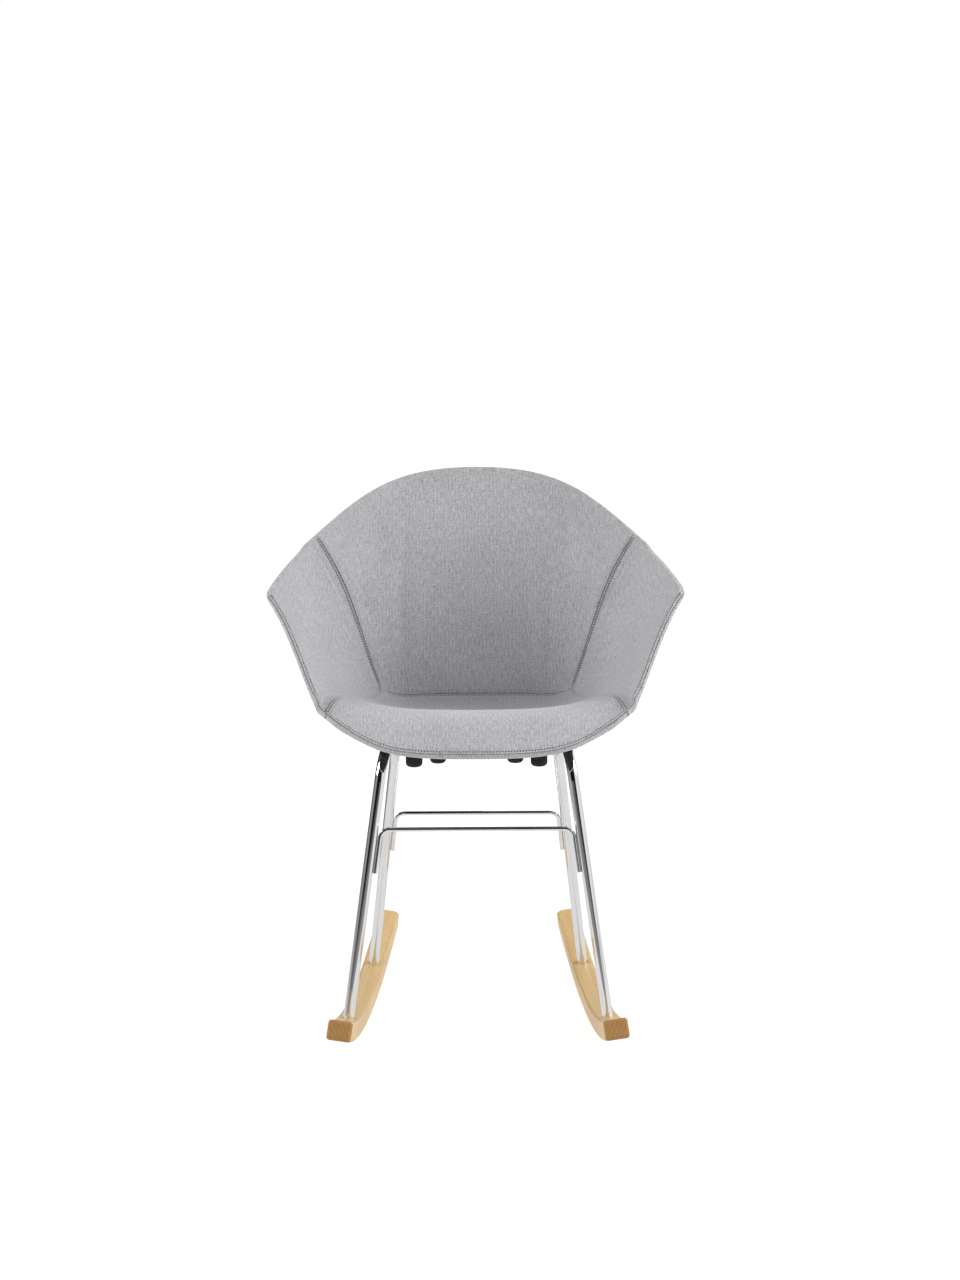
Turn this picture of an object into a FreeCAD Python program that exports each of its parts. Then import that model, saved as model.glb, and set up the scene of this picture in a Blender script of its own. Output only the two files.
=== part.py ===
import FreeCAD, Part
import math
import os

# Upholstered rocking chair: a padded one-piece bucket on a chromed tube base with two beech runners.
# Frame: millimetres, +Z up, the sitter faces -Y, +X is to the right of a person facing the chair.
# The origin is on the floor, under the middle of the chair's overall box.

Vector = FreeCAD.Vector

# Runners: bent beech bars, each in a plane that leans inwards at the top and closes in to the rear
RUNNER_RADIUS = 1047.0
RUNNER_LENGTH = 648.0
RUNNER_WIDTH = 33.5
RUNNER_DEPTH = 28.0
RUNNER_EDGE_ROUND = 4.5
RUNNER_END_ROUND = 4.0
RUNNER_REAR_CORNER = 10.0
RUNNER_HALF_TRACK = 172.0
BALANCE_Y = 20.3
LEAN = 7.5
TOE_IN = 4.4

# Side frames: one bent tube each, from the front foot over the top run to the rear foot
TUBE_DIAMETER = 15.0
TUBE_WALL = 1.5
TUBE_BEND_RADIUS = 40.0
FRONT_FOOT = -216.1
REAR_FOOT = 115.9
FRONT_RAKE = 6.2
REAR_RAKE = 13.6
RUN_SLOPE = 10.0
RUN_HEIGHT = 412.0
SOCKET_DEPTH = 13.0
SOCKET_CLEARANCE = 0.2

# Stretchers: thin rods whose turned-down ends are welded along the inner side of the legs
ROD_DIAMETER = 6.0
ROD_BEND_RADIUS = 14.0
FRONT_ROD_DROP = 108.9
REAR_ROD_DROP = 106.0
ROD_TAIL = 62.0
WELD_GAP = 0.1

# Cross bars under the seat, with the four fixing points that carry the bucket
BAR_WIDTH = 34.0
BAR_THICKNESS = 4.0
FRONT_BAR_Y = -80.0
REAR_BAR_Y = 60.0
FRONT_FIXING_HALF_SPAN = 89.0
REAR_FIXING_HALF_SPAN = 57.0

# Fixing set: stud moulded into a boss of the bucket, washer, nut and domed cover cap
STUD_DIAMETER = 8.0
STUD_HOLE_CLEARANCE = 0.5
STUD_EMBED = 9.0
STUD_TAIL = 11.0
INSERT_DIAMETER = 12.0
INSERT_LENGTH = 10.0
BOSS_DIAMETER = 22.0
UNDERSIDE_REACH = 60.0
WASHER_DIAMETER = 16.0
WASHER_THICKNESS = 1.6
NUT_ACROSS_FLATS = 13.0
NUT_HEIGHT = 6.5
CAP_DIAMETER = 24.0
CAP_HEIGHT = 23.0
CAP_DOME = 6.0
CAP_WALL = 3.0

# Saddle pads between the top run of each tube and the bucket's underside
SADDLE_WIDTH = 24.0
SADDLE_LENGTH = 40.0
SADDLE_FRONT = 34.0
SADDLE_REAR = 34.0

# Leg ends: threaded plugs in the tubes, and bolts up through the runners
PLUG_LENGTH = 25.0
BOLT_DIAMETER = 6.0
BOLT_ENGAGEMENT = 18.0
BOLT_HEAD_DIAMETER = 10.0
BOLT_HEAD_HEIGHT = 5.0
BOLT_HEAD_RECESS = 2.0
BOLT_KEY_SIZE = 5.0
BOLT_KEY_DEPTH = 3.0
BOLT_CLEARANCE = 0.4

# Layers of the bucket, from the sitter outwards
COVER = 1.5
SEAT_FOAM = 34.0
BACK_FOAM = 22.0
ARM_FOAM = 14.0
RIM_FOAM = 1.0
SHELL = 4.0
LAYER_GAP = 0.3
RING_FILL = (0.0, 0.5, 0.85, 1.0)

# Padding points, as shares of the bucket's width; heights are above the top run of the tubes
BUCKET_WIDTH = 580.0


def on_bucket(x, y, z):
    return Vector(x, y, z) * BUCKET_WIDTH + Vector(0, 0, RUN_HEIGHT)


# Middle line of the padding from the front rim to the top rim, as (y, z) poles
MIDDLE_LINE = (
    (-0.4108, 0.0422), (-0.391, 0.0724), (-0.3376, 0.1285), (-0.2337, 0.1222),
    (-0.0606, 0.0723), (0.1118, 0.0467), (0.2292, 0.0575), (0.2532, 0.0658),
    (0.2621, 0.0931), (0.2862, 0.2034), (0.3207, 0.3586), (0.3655, 0.5052),
    (0.4103, 0.6067), (0.4259, 0.6403),
)
CREASE_ROW = 7
SEAT_STEPS = (0.0, 0.06, 0.14, 0.32, 0.57, 0.81, 0.95, 1.0)
BACK_STEPS = (0.0, 0.05, 0.27, 0.51, 0.75, 0.93, 1.0)
RIM_FRONT_STEPS = (0.0, 0.08, 0.18, 0.36, 0.56, 0.75, 0.89, 1.0)
RIM_TOP_STEPS = (0.0, 0.15, 0.34, 0.55, 0.76, 0.92, 1.0)
MIDDLE_COLUMNS = 3
ARM_COLUMNS = 3

# Corners and turning points of the padding on the right-hand side
SEAT_CORNER = on_bucket(0.2197, 0.2507, 0.0575)
FRONT_CORNER = on_bucket(0.3727, -0.3112, 0.1624)
ARM_TIP = on_bucket(0.5044, -0.08, 0.3839)
SHOULDER = on_bucket(0.4296, 0.1578, 0.4613)
ARM_FRONT_LOW = on_bucket(0.3956, -0.2725, 0.1757)
ARM_FRONT_HIGH = on_bucket(0.4382, -0.1545, 0.3198)
ARM_TOP_TURN = on_bucket(0.4768, 0.0448, 0.4204)
SEAT_SEAM_END = on_bucket(0.3683, -0.3285, 0.1399)
SEAT_SEAM_CROWN = on_bucket(0.3137, -0.1839, 0.2039)
SEAT_SEAM_DIP = on_bucket(0.2895, 0.0332, 0.0521)
BACK_SEAM_LOW = on_bucket(0.2909, 0.2306, 0.1985)
BACK_SEAM_HIGH = on_bucket(0.3021, 0.209, 0.3773)
BACK_SEAM_END = on_bucket(0.4177, 0.1821, 0.4764)
SEAT_SWEEP = 4.25
FRONT_SWEEP = 4.69
BACK_SWEEP = 3.0
BOWL = 0.35
SEAM_SHIFT = 0.133
FAIRING_PASSES = 8

DEGREE = 3


os.makedirs("parts", exist_ok=True)


# Small helpers

def save(shape, name):
    shape.exportStep("parts/" + name + ".step")


def group(shapes):
    return Part.makeCompound(shapes)


def mirrored(shape):
    return shape.mirror(Vector(0, 0, 0), Vector(1, 0, 0))


def save_pair(shape, name):
    save(shape, "right_" + name)
    save(mirrored(shape), "left_" + name)


def bezier(points, share):
    points = list(points)
    while len(points) > 1:
        points = [a + (b - a) * share for a, b in zip(points, points[1:])]
    return points[0]


def crossing(point, direction, other, other_direction):
    # Meeting point of two lines in the plane of a side frame
    gap = other - point
    turn = direction.x * other_direction.z - direction.z * other_direction.x
    reach = (gap.x * other_direction.z - gap.z * other_direction.x) / turn
    return point + direction * reach


def rounded_path(points, radius):
    # Straight runs joined by tangent arcs of one radius
    edges = []
    start = points[0]
    for before, corner, after in zip(points, points[1:], points[2:]):
        back = (before - corner).normalize()
        ahead = (after - corner).normalize()
        half_angle = back.getAngle(ahead) / 2
        tangent = radius / math.tan(half_angle)
        inward = (back + ahead).normalize()
        centre = corner + inward * (radius / math.sin(half_angle))
        leave = corner + back * tangent
        join = corner + ahead * tangent
        edges.append(Part.LineSegment(start, leave).toShape())
        edges.append(Part.Arc(leave, centre - inward * radius, join).toShape())
        start = join
    edges.append(Part.LineSegment(start, points[-1]).toShape())
    return Part.Wire(edges)


def rod_along(path, radius):
    start = path.Vertexes[0].Point
    heading = path.Edges[0].tangentAt(path.Edges[0].FirstParameter)
    ring = Part.Wire(Part.makeCircle(radius, start, heading))
    return path.makePipeShell([ring], True, False)


def cylinder(radius, start, end):
    heading = end - start
    return Part.makeCylinder(radius, heading.Length, start, heading)


def lowest_solid(shape):
    return min(shape.Solids, key=lambda solid: solid.CenterOfMass.z)


# Plane of the right-hand side frame: local x runs back, local y inwards, local z up the leaning plane

lean = math.radians(LEAN)
toe_in = math.radians(TOE_IN)
back_axis = Vector(-math.sin(toe_in), math.cos(toe_in), 0)
level_axis = Vector(-math.cos(toe_in), -math.sin(toe_in), 0)
up_axis = Vector(0, 0, 1) * math.cos(lean) + level_axis * math.sin(lean)
in_axis = level_axis * math.cos(lean) - Vector(0, 0, 1) * math.sin(lean)
corner_lift = RUNNER_EDGE_ROUND * (math.sin(lean) + math.cos(lean) - 1)
frame_origin = Vector(RUNNER_HALF_TRACK, BALANCE_Y, RUNNER_WIDTH / 2 * math.sin(lean) - corner_lift)
side_plane = FreeCAD.Matrix(
    back_axis.x, in_axis.x, up_axis.x, frame_origin.x,
    back_axis.y, in_axis.y, up_axis.y, frame_origin.y,
    back_axis.z, in_axis.z, up_axis.z, frame_origin.z,
    0, 0, 0, 1,
)


def placed(shape):
    moved = shape.copy()
    moved.Placement = FreeCAD.Placement(side_plane).multiply(shape.Placement)
    return moved


def world(point):
    return side_plane.multVec(point)


# Legs and top run of the side frame, in its own plane

def runner_top(along):
    inner_radius = RUNNER_RADIUS - RUNNER_DEPTH
    return RUNNER_RADIUS - math.sqrt(inner_radius ** 2 - along ** 2)


front_rake = math.radians(FRONT_RAKE)
rear_rake = math.radians(REAR_RAKE)
run_slope = math.radians(RUN_SLOPE)
front_up = Vector(math.sin(front_rake), 0, math.cos(front_rake))
rear_up = Vector(-math.sin(rear_rake), 0, math.cos(rear_rake))
run_back = Vector(math.cos(run_slope), 0, -math.sin(run_slope))
front_foot = Vector(FRONT_FOOT, 0, runner_top(FRONT_FOOT))
rear_foot = Vector(REAR_FOOT, 0, runner_top(REAR_FOOT))
run_point = Vector(FRONT_BAR_Y - BALANCE_Y, 0, RUN_HEIGHT / math.cos(lean))
front_top = crossing(front_foot, front_up, run_point, run_back)
rear_top = crossing(rear_foot, rear_up, run_point, run_back)
front_end = front_foot - front_up * SOCKET_DEPTH
rear_end = rear_foot - rear_up * SOCKET_DEPTH
tube_path = rounded_path([front_end, front_top, rear_top, rear_end], TUBE_BEND_RADIUS)

tube_core = placed(rod_along(tube_path, TUBE_DIAMETER / 2))
tube_bore = placed(rod_along(tube_path, TUBE_DIAMETER / 2 - TUBE_WALL))
side_frame = tube_core.cut(tube_bore)
save_pair(side_frame, "side_frame")

# Leg plugs and the bolts that hold the runners

plugs = []
bolts = []
bolt_room = []
for foot, upward in ((front_foot, front_up), (rear_foot, rear_up)):
    end = foot - upward * SOCKET_DEPTH
    under = foot - upward * RUNNER_DEPTH
    seat = under + upward * (BOLT_HEAD_HEIGHT + BOLT_HEAD_RECESS)
    tip = end + upward * BOLT_ENGAGEMENT
    plug = cylinder(TUBE_DIAMETER / 2 - TUBE_WALL, end, end + upward * PLUG_LENGTH)
    plugs.append(placed(plug.cut(cylinder(BOLT_DIAMETER / 2, end, tip))))
    head = cylinder(BOLT_HEAD_DIAMETER / 2, seat - upward * BOLT_HEAD_HEIGHT, seat)
    key = cylinder(BOLT_KEY_SIZE / 2, seat - upward * BOLT_HEAD_HEIGHT,
                   seat - upward * (BOLT_HEAD_HEIGHT - BOLT_KEY_DEPTH))
    shank = cylinder(BOLT_DIAMETER / 2, seat, tip)
    bolts.append(placed(head.fuse(shank).cut(key)))
    socket = cylinder(TUBE_DIAMETER / 2 + SOCKET_CLEARANCE, end, foot + upward * RUNNER_DEPTH)
    shank_hole = cylinder(BOLT_DIAMETER / 2 + BOLT_CLEARANCE, under, end)
    recess = cylinder(BOLT_HEAD_DIAMETER / 2 + BOLT_CLEARANCE, under - upward * RUNNER_DEPTH, seat)
    bolt_room += [socket, shank_hole, recess]
save(group(plugs + [mirrored(plug) for plug in plugs]), "leg_plugs")
save(group(bolts + [mirrored(bolt) for bolt in bolts]), "runner_bolts")

# Runner: a rounded bar turned about the centre of its arc

section = Part.makeBox(RUNNER_DEPTH, RUNNER_WIDTH, RUNNER_DEPTH,
                       Vector(0, -RUNNER_WIDTH / 2, 0)).Faces[0]
arc_centre = Vector(0, 0, RUNNER_RADIUS)
half_length = RUNNER_LENGTH / 2
front_angle = math.degrees(math.asin((half_length + BALANCE_Y) / RUNNER_RADIUS))
rear_angle = math.degrees(math.asin((half_length - BALANCE_Y) / RUNNER_RADIUS))
section.rotate(arc_centre, Vector(0, 1, 0), front_angle)
runner = section.revolve(arc_centre, Vector(0, 1, 0), -(front_angle + rear_angle))


def bar_ends(bar):
    # The flat front and rear ends of a bar whose sides face along y
    ends = [face for face in bar.Faces
            if face.Surface.TypeId == "Part::GeomPlane" and abs(face.normalAt(0, 0).y) < 0.5]
    return sorted(ends, key=lambda face: face.CenterOfMass.x)


def on_an_arc(edge):
    # Whether an edge lies on the sole or on the top of the runner
    depths = [RUNNER_RADIUS - math.hypot(vertex.X, vertex.Z - RUNNER_RADIUS) for vertex in edge.Vertexes]
    return any(all(abs(depth - level) < 0.05 for depth in depths) for level in (0, RUNNER_DEPTH))


rear_corners = [edge for edge in bar_ends(runner)[1].Edges if not on_an_arc(edge)]
runner = runner.makeFillet(RUNNER_REAR_CORNER, rear_corners)
front_edges = bar_ends(runner)[0].Edges
outlines = [edge for edge in runner.Edges
            if on_an_arc(edge) and not any(edge.isSame(front_edge) for front_edge in front_edges)]
runner = runner.makeFillet(RUNNER_EDGE_ROUND, outlines)
runner = runner.makeFillet(RUNNER_END_ROUND, bar_ends(runner)[0].Edges)
for room in bolt_room:
    runner = runner.cut(room)
save_pair(placed(runner), "runner")

# Stretchers between the front legs and between the rear legs

def stretcher(upward, top, drop):
    side = TUBE_DIAMETER / 2 + ROD_DIAMETER / 2 + WELD_GAP
    beside = Vector(0, side, 0)
    reach = drop / upward.z
    corner = world(top - upward * reach + beside)
    tail = world(top - upward * (reach + ROD_TAIL) + beside)
    other_corner = Vector(-corner.x, corner.y, corner.z)
    other_tail = Vector(-tail.x, tail.y, tail.z)
    path = rounded_path([tail, corner, other_corner, other_tail], ROD_BEND_RADIUS)
    return rod_along(path, ROD_DIAMETER / 2)


save(stretcher(front_up, front_top, FRONT_ROD_DROP), "front_stretcher")
save(stretcher(rear_up, rear_top, REAR_ROD_DROP), "rear_stretcher")

# Padding surface: a net of poles, rows from the front rim to the top rim, columns from left to right

def half_row(row):
    if row <= CREASE_ROW:
        seam = bezier([SEAT_SEAM_END, SEAT_SEAM_CROWN, SEAT_SEAM_DIP, SEAT_CORNER], SEAT_STEPS[row])
        rim = bezier([FRONT_CORNER, ARM_FRONT_LOW, ARM_FRONT_HIGH, ARM_TIP], RIM_FRONT_STEPS[row])
        power = FRONT_SWEEP if row < 2 else SEAT_SWEEP
    else:
        seam = bezier([SEAT_CORNER, BACK_SEAM_LOW, BACK_SEAM_HIGH, BACK_SEAM_END],
                      BACK_STEPS[row - CREASE_ROW])
        rim = bezier([ARM_TIP, ARM_TOP_TURN, SHOULDER], RIM_TOP_STEPS[row - CREASE_ROW])
        power = BACK_SWEEP
    middle = on_bucket(0, *MIDDLE_LINE[row])
    half = []
    for column in range(MIDDLE_COLUMNS + 1):
        part = column / MIDDLE_COLUMNS
        sweep = part ** power
        half.append(Vector(seam.x * part, middle.y + (seam.y - middle.y) * sweep,
                           middle.z + (seam.z - middle.z) * sweep))
    for column in range(1, ARM_COLUMNS + 1):
        part = column / ARM_COLUMNS
        half.append(Vector(seam.x + (rim.x - seam.x) * part ** (1 / (1 + BOWL)),
                           seam.y + (rim.y - seam.y) * part,
                           seam.z + (rim.z - seam.z) * part ** (1 + BOWL)))
    return half


def faired(rows):
    # Even out the arm from front to back, between its seam and its rim
    for _ in range(FAIRING_PASSES):
        for column in range(MIDDLE_COLUMNS + 1, MIDDLE_COLUMNS + ARM_COLUMNS):
            line = [row[column] for row in rows]
            for index in range(1, len(rows) - 1):
                rows[index][column] = (line[index - 1] + line[index] * 2 + line[index + 1]) * 0.25
    return rows


half_net = faired([half_row(row) for row in range(len(MIDDLE_LINE))])
net = [[Vector(-pole.x, pole.y, pole.z) for pole in reversed(half[1:])] + half for half in half_net]
LAST_ROW = len(net) - 1
LAST_COLUMN = len(net[0]) - 1
MIDDLE = LAST_COLUMN // 2


def net_normal(row, column):
    # Direction towards the sitter at one pole, taken from the next pole in at the rim
    row = min(max(row, 1), LAST_ROW - 1)
    column = min(max(column, 1), LAST_COLUMN - 1)
    along = net[row + 1][column] - net[row - 1][column]
    across = net[row][column + 1] - net[row][column - 1]
    return across.cross(along).normalize()


normals = [[net_normal(row, column) for column in range(LAST_COLUMN + 1)] for row in range(LAST_ROW + 1)]


def foam_depth(row, column):
    side = abs(column - MIDDLE)
    middle_depth = SEAT_FOAM if row < CREASE_ROW else BACK_FOAM
    if side > MIDDLE_COLUMNS:
        full = ARM_FOAM
    elif side == MIDDLE_COLUMNS:
        full = (middle_depth + ARM_FOAM) / 2
    else:
        full = middle_depth
    last_fill = len(RING_FILL) - 1
    row_ring = min(row, LAST_ROW - row, last_fill)
    column_ring = min(MIDDLE - side, last_fill)
    return RIM_FOAM + (full - RIM_FOAM) * RING_FILL[row_ring] * RING_FILL[column_ring]


def layer_surface(fixed_depth, foam_share):
    poles = []
    for row in range(LAST_ROW + 1):
        line = []
        for column in range(LAST_COLUMN + 1):
            depth = fixed_depth + foam_share * foam_depth(row, column)
            line.append(net[row][column] - normals[row][column] * depth)
        poles.append(line)
    surface = Part.BSplineSurface()
    surface.buildFromPolesMultsKnots(
        poles, knot_mults(LAST_ROW + 1), knot_mults(LAST_COLUMN + 1),
        knot_values(LAST_ROW + 1), knot_values(LAST_COLUMN + 1), False, False, DEGREE, DEGREE)
    return surface


def knot_values(count):
    return list(range(count - DEGREE + 1))


def knot_mults(count):
    return [DEGREE + 1] + [1] * (count - DEGREE - 1) + [DEGREE + 1]


def pole_place(index, count):
    # Parameter at which a pole pulls hardest on the surface
    last = count - DEGREE
    return sum(min(max(index - DEGREE + step, 0), last) for step in (1, 2, 3)) / DEGREE


def panel(inner, outer, rows, columns):
    # Closed solid between two surfaces over one span of rows and columns
    faces = []
    for surface in (inner, outer):
        piece = surface.copy()
        piece.segment(rows[0], rows[1], columns[0], columns[1])
        faces.append(piece.toShape())
    for row in rows:
        faces.append(Part.makeRuledSurface(
            inner.uIso(row).toShape(*columns), outer.uIso(row).toShape(*columns)))
    for column in columns:
        faces.append(Part.makeRuledSurface(
            inner.vIso(column).toShape(*rows), outer.vIso(column).toShape(*rows)))
    shell = Part.makeShell(faces)
    shell.sewShape()
    solid = Part.makeSolid(shell)
    if solid.Volume < 0:
        solid.reverse()
    return solid


row_end = LAST_ROW + 1 - DEGREE
column_end = LAST_COLUMN + 1 - DEGREE
crease = pole_place(CREASE_ROW, LAST_ROW + 1)
left_seam = pole_place(MIDDLE - MIDDLE_COLUMNS, LAST_COLUMN + 1) - SEAM_SHIFT
right_seam = pole_place(MIDDLE + MIDDLE_COLUMNS, LAST_COLUMN + 1) + SEAM_SHIFT
face_surface = layer_surface(0, 0)
row_gap = LAYER_GAP / 2 / face_surface.getDN(crease, column_end / 2, 1, 0).Length
column_gap = LAYER_GAP / 2 / face_surface.getDN(crease, right_seam, 0, 1).Length

spans = {
    "seat": ((0, crease - row_gap), (left_seam + column_gap, right_seam - column_gap)),
    "back": ((crease + row_gap, row_end), (left_seam + column_gap, right_seam - column_gap)),
    "left_arm": ((0, row_end), (0, left_seam - column_gap)),
    "right_arm": ((0, row_end), (right_seam + column_gap, column_end)),
}

foam_inner = layer_surface(COVER + LAYER_GAP, 0)
foam_outer = layer_surface(COVER + LAYER_GAP, 1)
shell_inner = layer_surface(COVER + 2 * LAYER_GAP, 1)
shell_outer = layer_surface(COVER + 2 * LAYER_GAP + SHELL, 1)
outer_inner = layer_surface(COVER + 3 * LAYER_GAP + SHELL, 1)
outer_outer = layer_surface(2 * COVER + 3 * LAYER_GAP + SHELL, 1)
cover_outer = layer_surface(COVER, 0)

outer_covers = {}
for name, (rows, columns) in spans.items():
    save(panel(face_surface, cover_outer, rows, columns), name + "_cover")
    save(panel(foam_inner, foam_outer, rows, columns), name + "_foam")
    outer_covers[name] = panel(outer_inner, outer_outer, rows, columns)
moulding = panel(shell_inner, shell_outer, (0, row_end), (0, column_end))

# Cross bars between the top runs, with the four places where the bucket is fixed

DOWN = Vector(0, 0, -1)


def run_axis_at(y):
    # Point of the top run's axis at a given depth of the chair
    start = world(front_top)
    heading = world(rear_top) - start
    return start + heading * ((y - start.y) / heading.y)


def cross_bar(y, places):
    axis = run_axis_at(y)
    corner = Vector(-axis.x, y - BAR_WIDTH / 2, axis.z - BAR_THICKNESS / 2)
    bar = Part.makeBox(2 * axis.x, BAR_WIDTH, BAR_THICKNESS, corner)
    for tube in (tube_core, mirrored(tube_core)):
        bar = bar.cut(tube)
    hole_radius = (STUD_DIAMETER + STUD_HOLE_CLEARANCE) / 2
    for place in places:
        bar = bar.cut(cylinder(hole_radius, place, place + DOWN * BAR_THICKNESS))
    return max(bar.Solids, key=lambda solid: solid.Volume)


fixing_places = []
for name, y, half_span in (("front", FRONT_BAR_Y, FRONT_FIXING_HALF_SPAN),
                           ("rear", REAR_BAR_Y, REAR_FIXING_HALF_SPAN)):
    height = run_axis_at(y).z + BAR_THICKNESS / 2
    places = [Vector(-half_span, y, height), Vector(half_span, y, height)]
    save(cross_bar(y, places), name + "_cross_bar")
    fixing_places += places

# Fixing sets: each place is the middle of a stud hole, on the upper face of its bar

def stud(place):
    return cylinder(STUD_DIAMETER / 2, place + DOWN * (BAR_THICKNESS + STUD_TAIL), place - DOWN * STUD_EMBED)


def insert(place):
    return cylinder(INSERT_DIAMETER / 2, place, place - DOWN * INSERT_LENGTH)


def washer(place):
    under = place + DOWN * BAR_THICKNESS
    below = under + DOWN * WASHER_THICKNESS
    hole = cylinder((STUD_DIAMETER + STUD_HOLE_CLEARANCE) / 2, below, under)
    return cylinder(WASHER_DIAMETER / 2, below, under).cut(hole)


def nut(place):
    below = place + DOWN * (BAR_THICKNESS + WASHER_THICKNESS + NUT_HEIGHT)
    corner = Vector(NUT_ACROSS_FLATS / math.sqrt(3), 0, 0)
    turn = FreeCAD.Rotation(Vector(0, 0, 1), 60)
    corners = [below + corner]
    for _ in range(6):
        corner = turn.multVec(corner)
        corners.append(below + corner)
    return Part.Face(Part.makePolygon(corners)).extrude(DOWN * -NUT_HEIGHT).cut(stud(place))


def cap(place):
    under = place + DOWN * BAR_THICKNESS
    bottom = under + DOWN * CAP_HEIGHT
    body = cylinder(CAP_DIAMETER / 2, bottom, under)
    half_way = (under.z + bottom.z) / 2
    low_edges = [edge for edge in body.Edges if edge.Closed and edge.CenterOfMass.z < half_way]
    body = body.makeFillet(CAP_DOME, low_edges)
    return body.cut(cylinder(CAP_DIAMETER / 2 - CAP_WALL, bottom - DOWN * CAP_DOME, under))


def boss(place):
    post = cylinder(BOSS_DIAMETER / 2, place, place - DOWN * UNDERSIDE_REACH)
    return lowest_solid(post.cut(moulding))


for post in [boss(place) for place in fixing_places]:
    moulding = moulding.fuse(post)
for place in fixing_places:
    moulding = moulding.cut(insert(place)).cut(stud(place))
save(moulding, "seat_moulding")
save(group([insert(place).cut(stud(place)) for place in fixing_places]), "threaded_inserts")
save(group([stud(place) for place in fixing_places]), "fixing_studs")
save(group([washer(place) for place in fixing_places]), "fixing_washers")
save(group([nut(place) for place in fixing_places]), "fixing_nuts")
save(group([cap(place) for place in fixing_places]), "fixing_caps")

# Outer covers, the one under the seat cut out round the bosses

for place in fixing_places:
    hole = cylinder(BOSS_DIAMETER / 2 + LAYER_GAP, place, place - DOWN * UNDERSIDE_REACH)
    outer_covers["seat"] = outer_covers["seat"].cut(hole)
for name, cover in outer_covers.items():
    save(cover, name + "_outer_cover")

# Saddle pads on the top runs, shaped to the tube below and the bucket above

def saddle(along):
    corner = Vector(-SADDLE_LENGTH / 2, -SADDLE_WIDTH / 2, 0)
    block = Part.makeBox(SADDLE_LENGTH, SADDLE_WIDTH, UNDERSIDE_REACH, corner)
    block.rotate(Vector(0, 0, 0), Vector(0, 1, 0), RUN_SLOPE)
    block.translate(along)
    return lowest_solid(placed(block).cut(tube_core).cut(outer_covers["seat"]))


front_saddle = saddle(front_top + run_back * SADDLE_FRONT)
rear_saddle = saddle(rear_top - run_back * SADDLE_REAR)
save(group([front_saddle, mirrored(front_saddle)]), "front_saddles")
save(group([rear_saddle, mirrored(rear_saddle)]), "rear_saddles")
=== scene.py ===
# %% [markdown]
# # Upholstered rocking chair
# A padded bucket in grey woven cloth stands on a chromed tube base with two beech runners.
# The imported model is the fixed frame: the tubes, rods, runners and caps stay as they are and only get finishes.
# The soft parts are made again here as what they are, sewn cloth over foam, and stand for their plain solids.

# %% Load the frame
import math

import bpy
import numpy as np
from mathutils import Matrix, Vector
from mathutils.bvhtree import BVHTree


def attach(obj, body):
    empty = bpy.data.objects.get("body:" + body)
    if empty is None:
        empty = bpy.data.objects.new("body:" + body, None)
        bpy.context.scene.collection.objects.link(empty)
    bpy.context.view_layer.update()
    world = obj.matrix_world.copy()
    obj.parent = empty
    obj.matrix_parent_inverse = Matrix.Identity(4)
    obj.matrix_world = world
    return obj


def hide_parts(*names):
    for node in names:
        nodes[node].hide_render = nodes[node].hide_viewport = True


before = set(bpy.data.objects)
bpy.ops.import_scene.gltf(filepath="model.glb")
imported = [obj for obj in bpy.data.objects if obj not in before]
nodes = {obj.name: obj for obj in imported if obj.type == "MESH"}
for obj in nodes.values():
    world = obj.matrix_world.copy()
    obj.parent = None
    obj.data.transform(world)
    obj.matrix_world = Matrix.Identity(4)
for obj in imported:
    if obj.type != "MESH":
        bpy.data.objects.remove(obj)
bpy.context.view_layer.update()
scene = bpy.context.scene
MM = 0.001

# %% [markdown]
# ## Camera
# The picture was taken from the front with a long lens, a little above the chair and tipped down by 9.5 degrees.
# A long lens far away keeps the legs almost parallel. The picture hangs a third of a degree out of plumb, so the
# camera is rolled by as much.

# %% Camera
CAMERA_PLACE = (0.0059, -3.979, 1.2227)
CAMERA_PITCH = math.radians(9.5)
CAMERA_ROLL = math.radians(-0.35)
FOCAL_LENGTH_PIXELS = 2794
PICTURE_HEIGHT = 1280
SENSOR = 36.0

camera_data = bpy.data.cameras.new("camera")
camera_data.sensor_width = SENSOR
camera_data.lens = SENSOR * FOCAL_LENGTH_PIXELS / PICTURE_HEIGHT
camera = bpy.data.objects.new("camera", camera_data)
scene.collection.objects.link(camera)
aim = Matrix.Rotation(math.pi / 2 - CAMERA_PITCH, 4, "X") @ Matrix.Rotation(CAMERA_ROLL, 4, "Z")
camera.matrix_world = Matrix.Translation(CAMERA_PLACE) @ aim
scene.camera = camera
print("camera lens", round(camera_data.lens, 2), "mm")

# %% [markdown]
# ## Sums on sockets
# A finish is mostly arithmetic on positions and noises. Writing it as Python sums keeps it readable: a Link wraps one
# output of a node tree, and each sum of Links adds the Math node that works it out.

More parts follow.
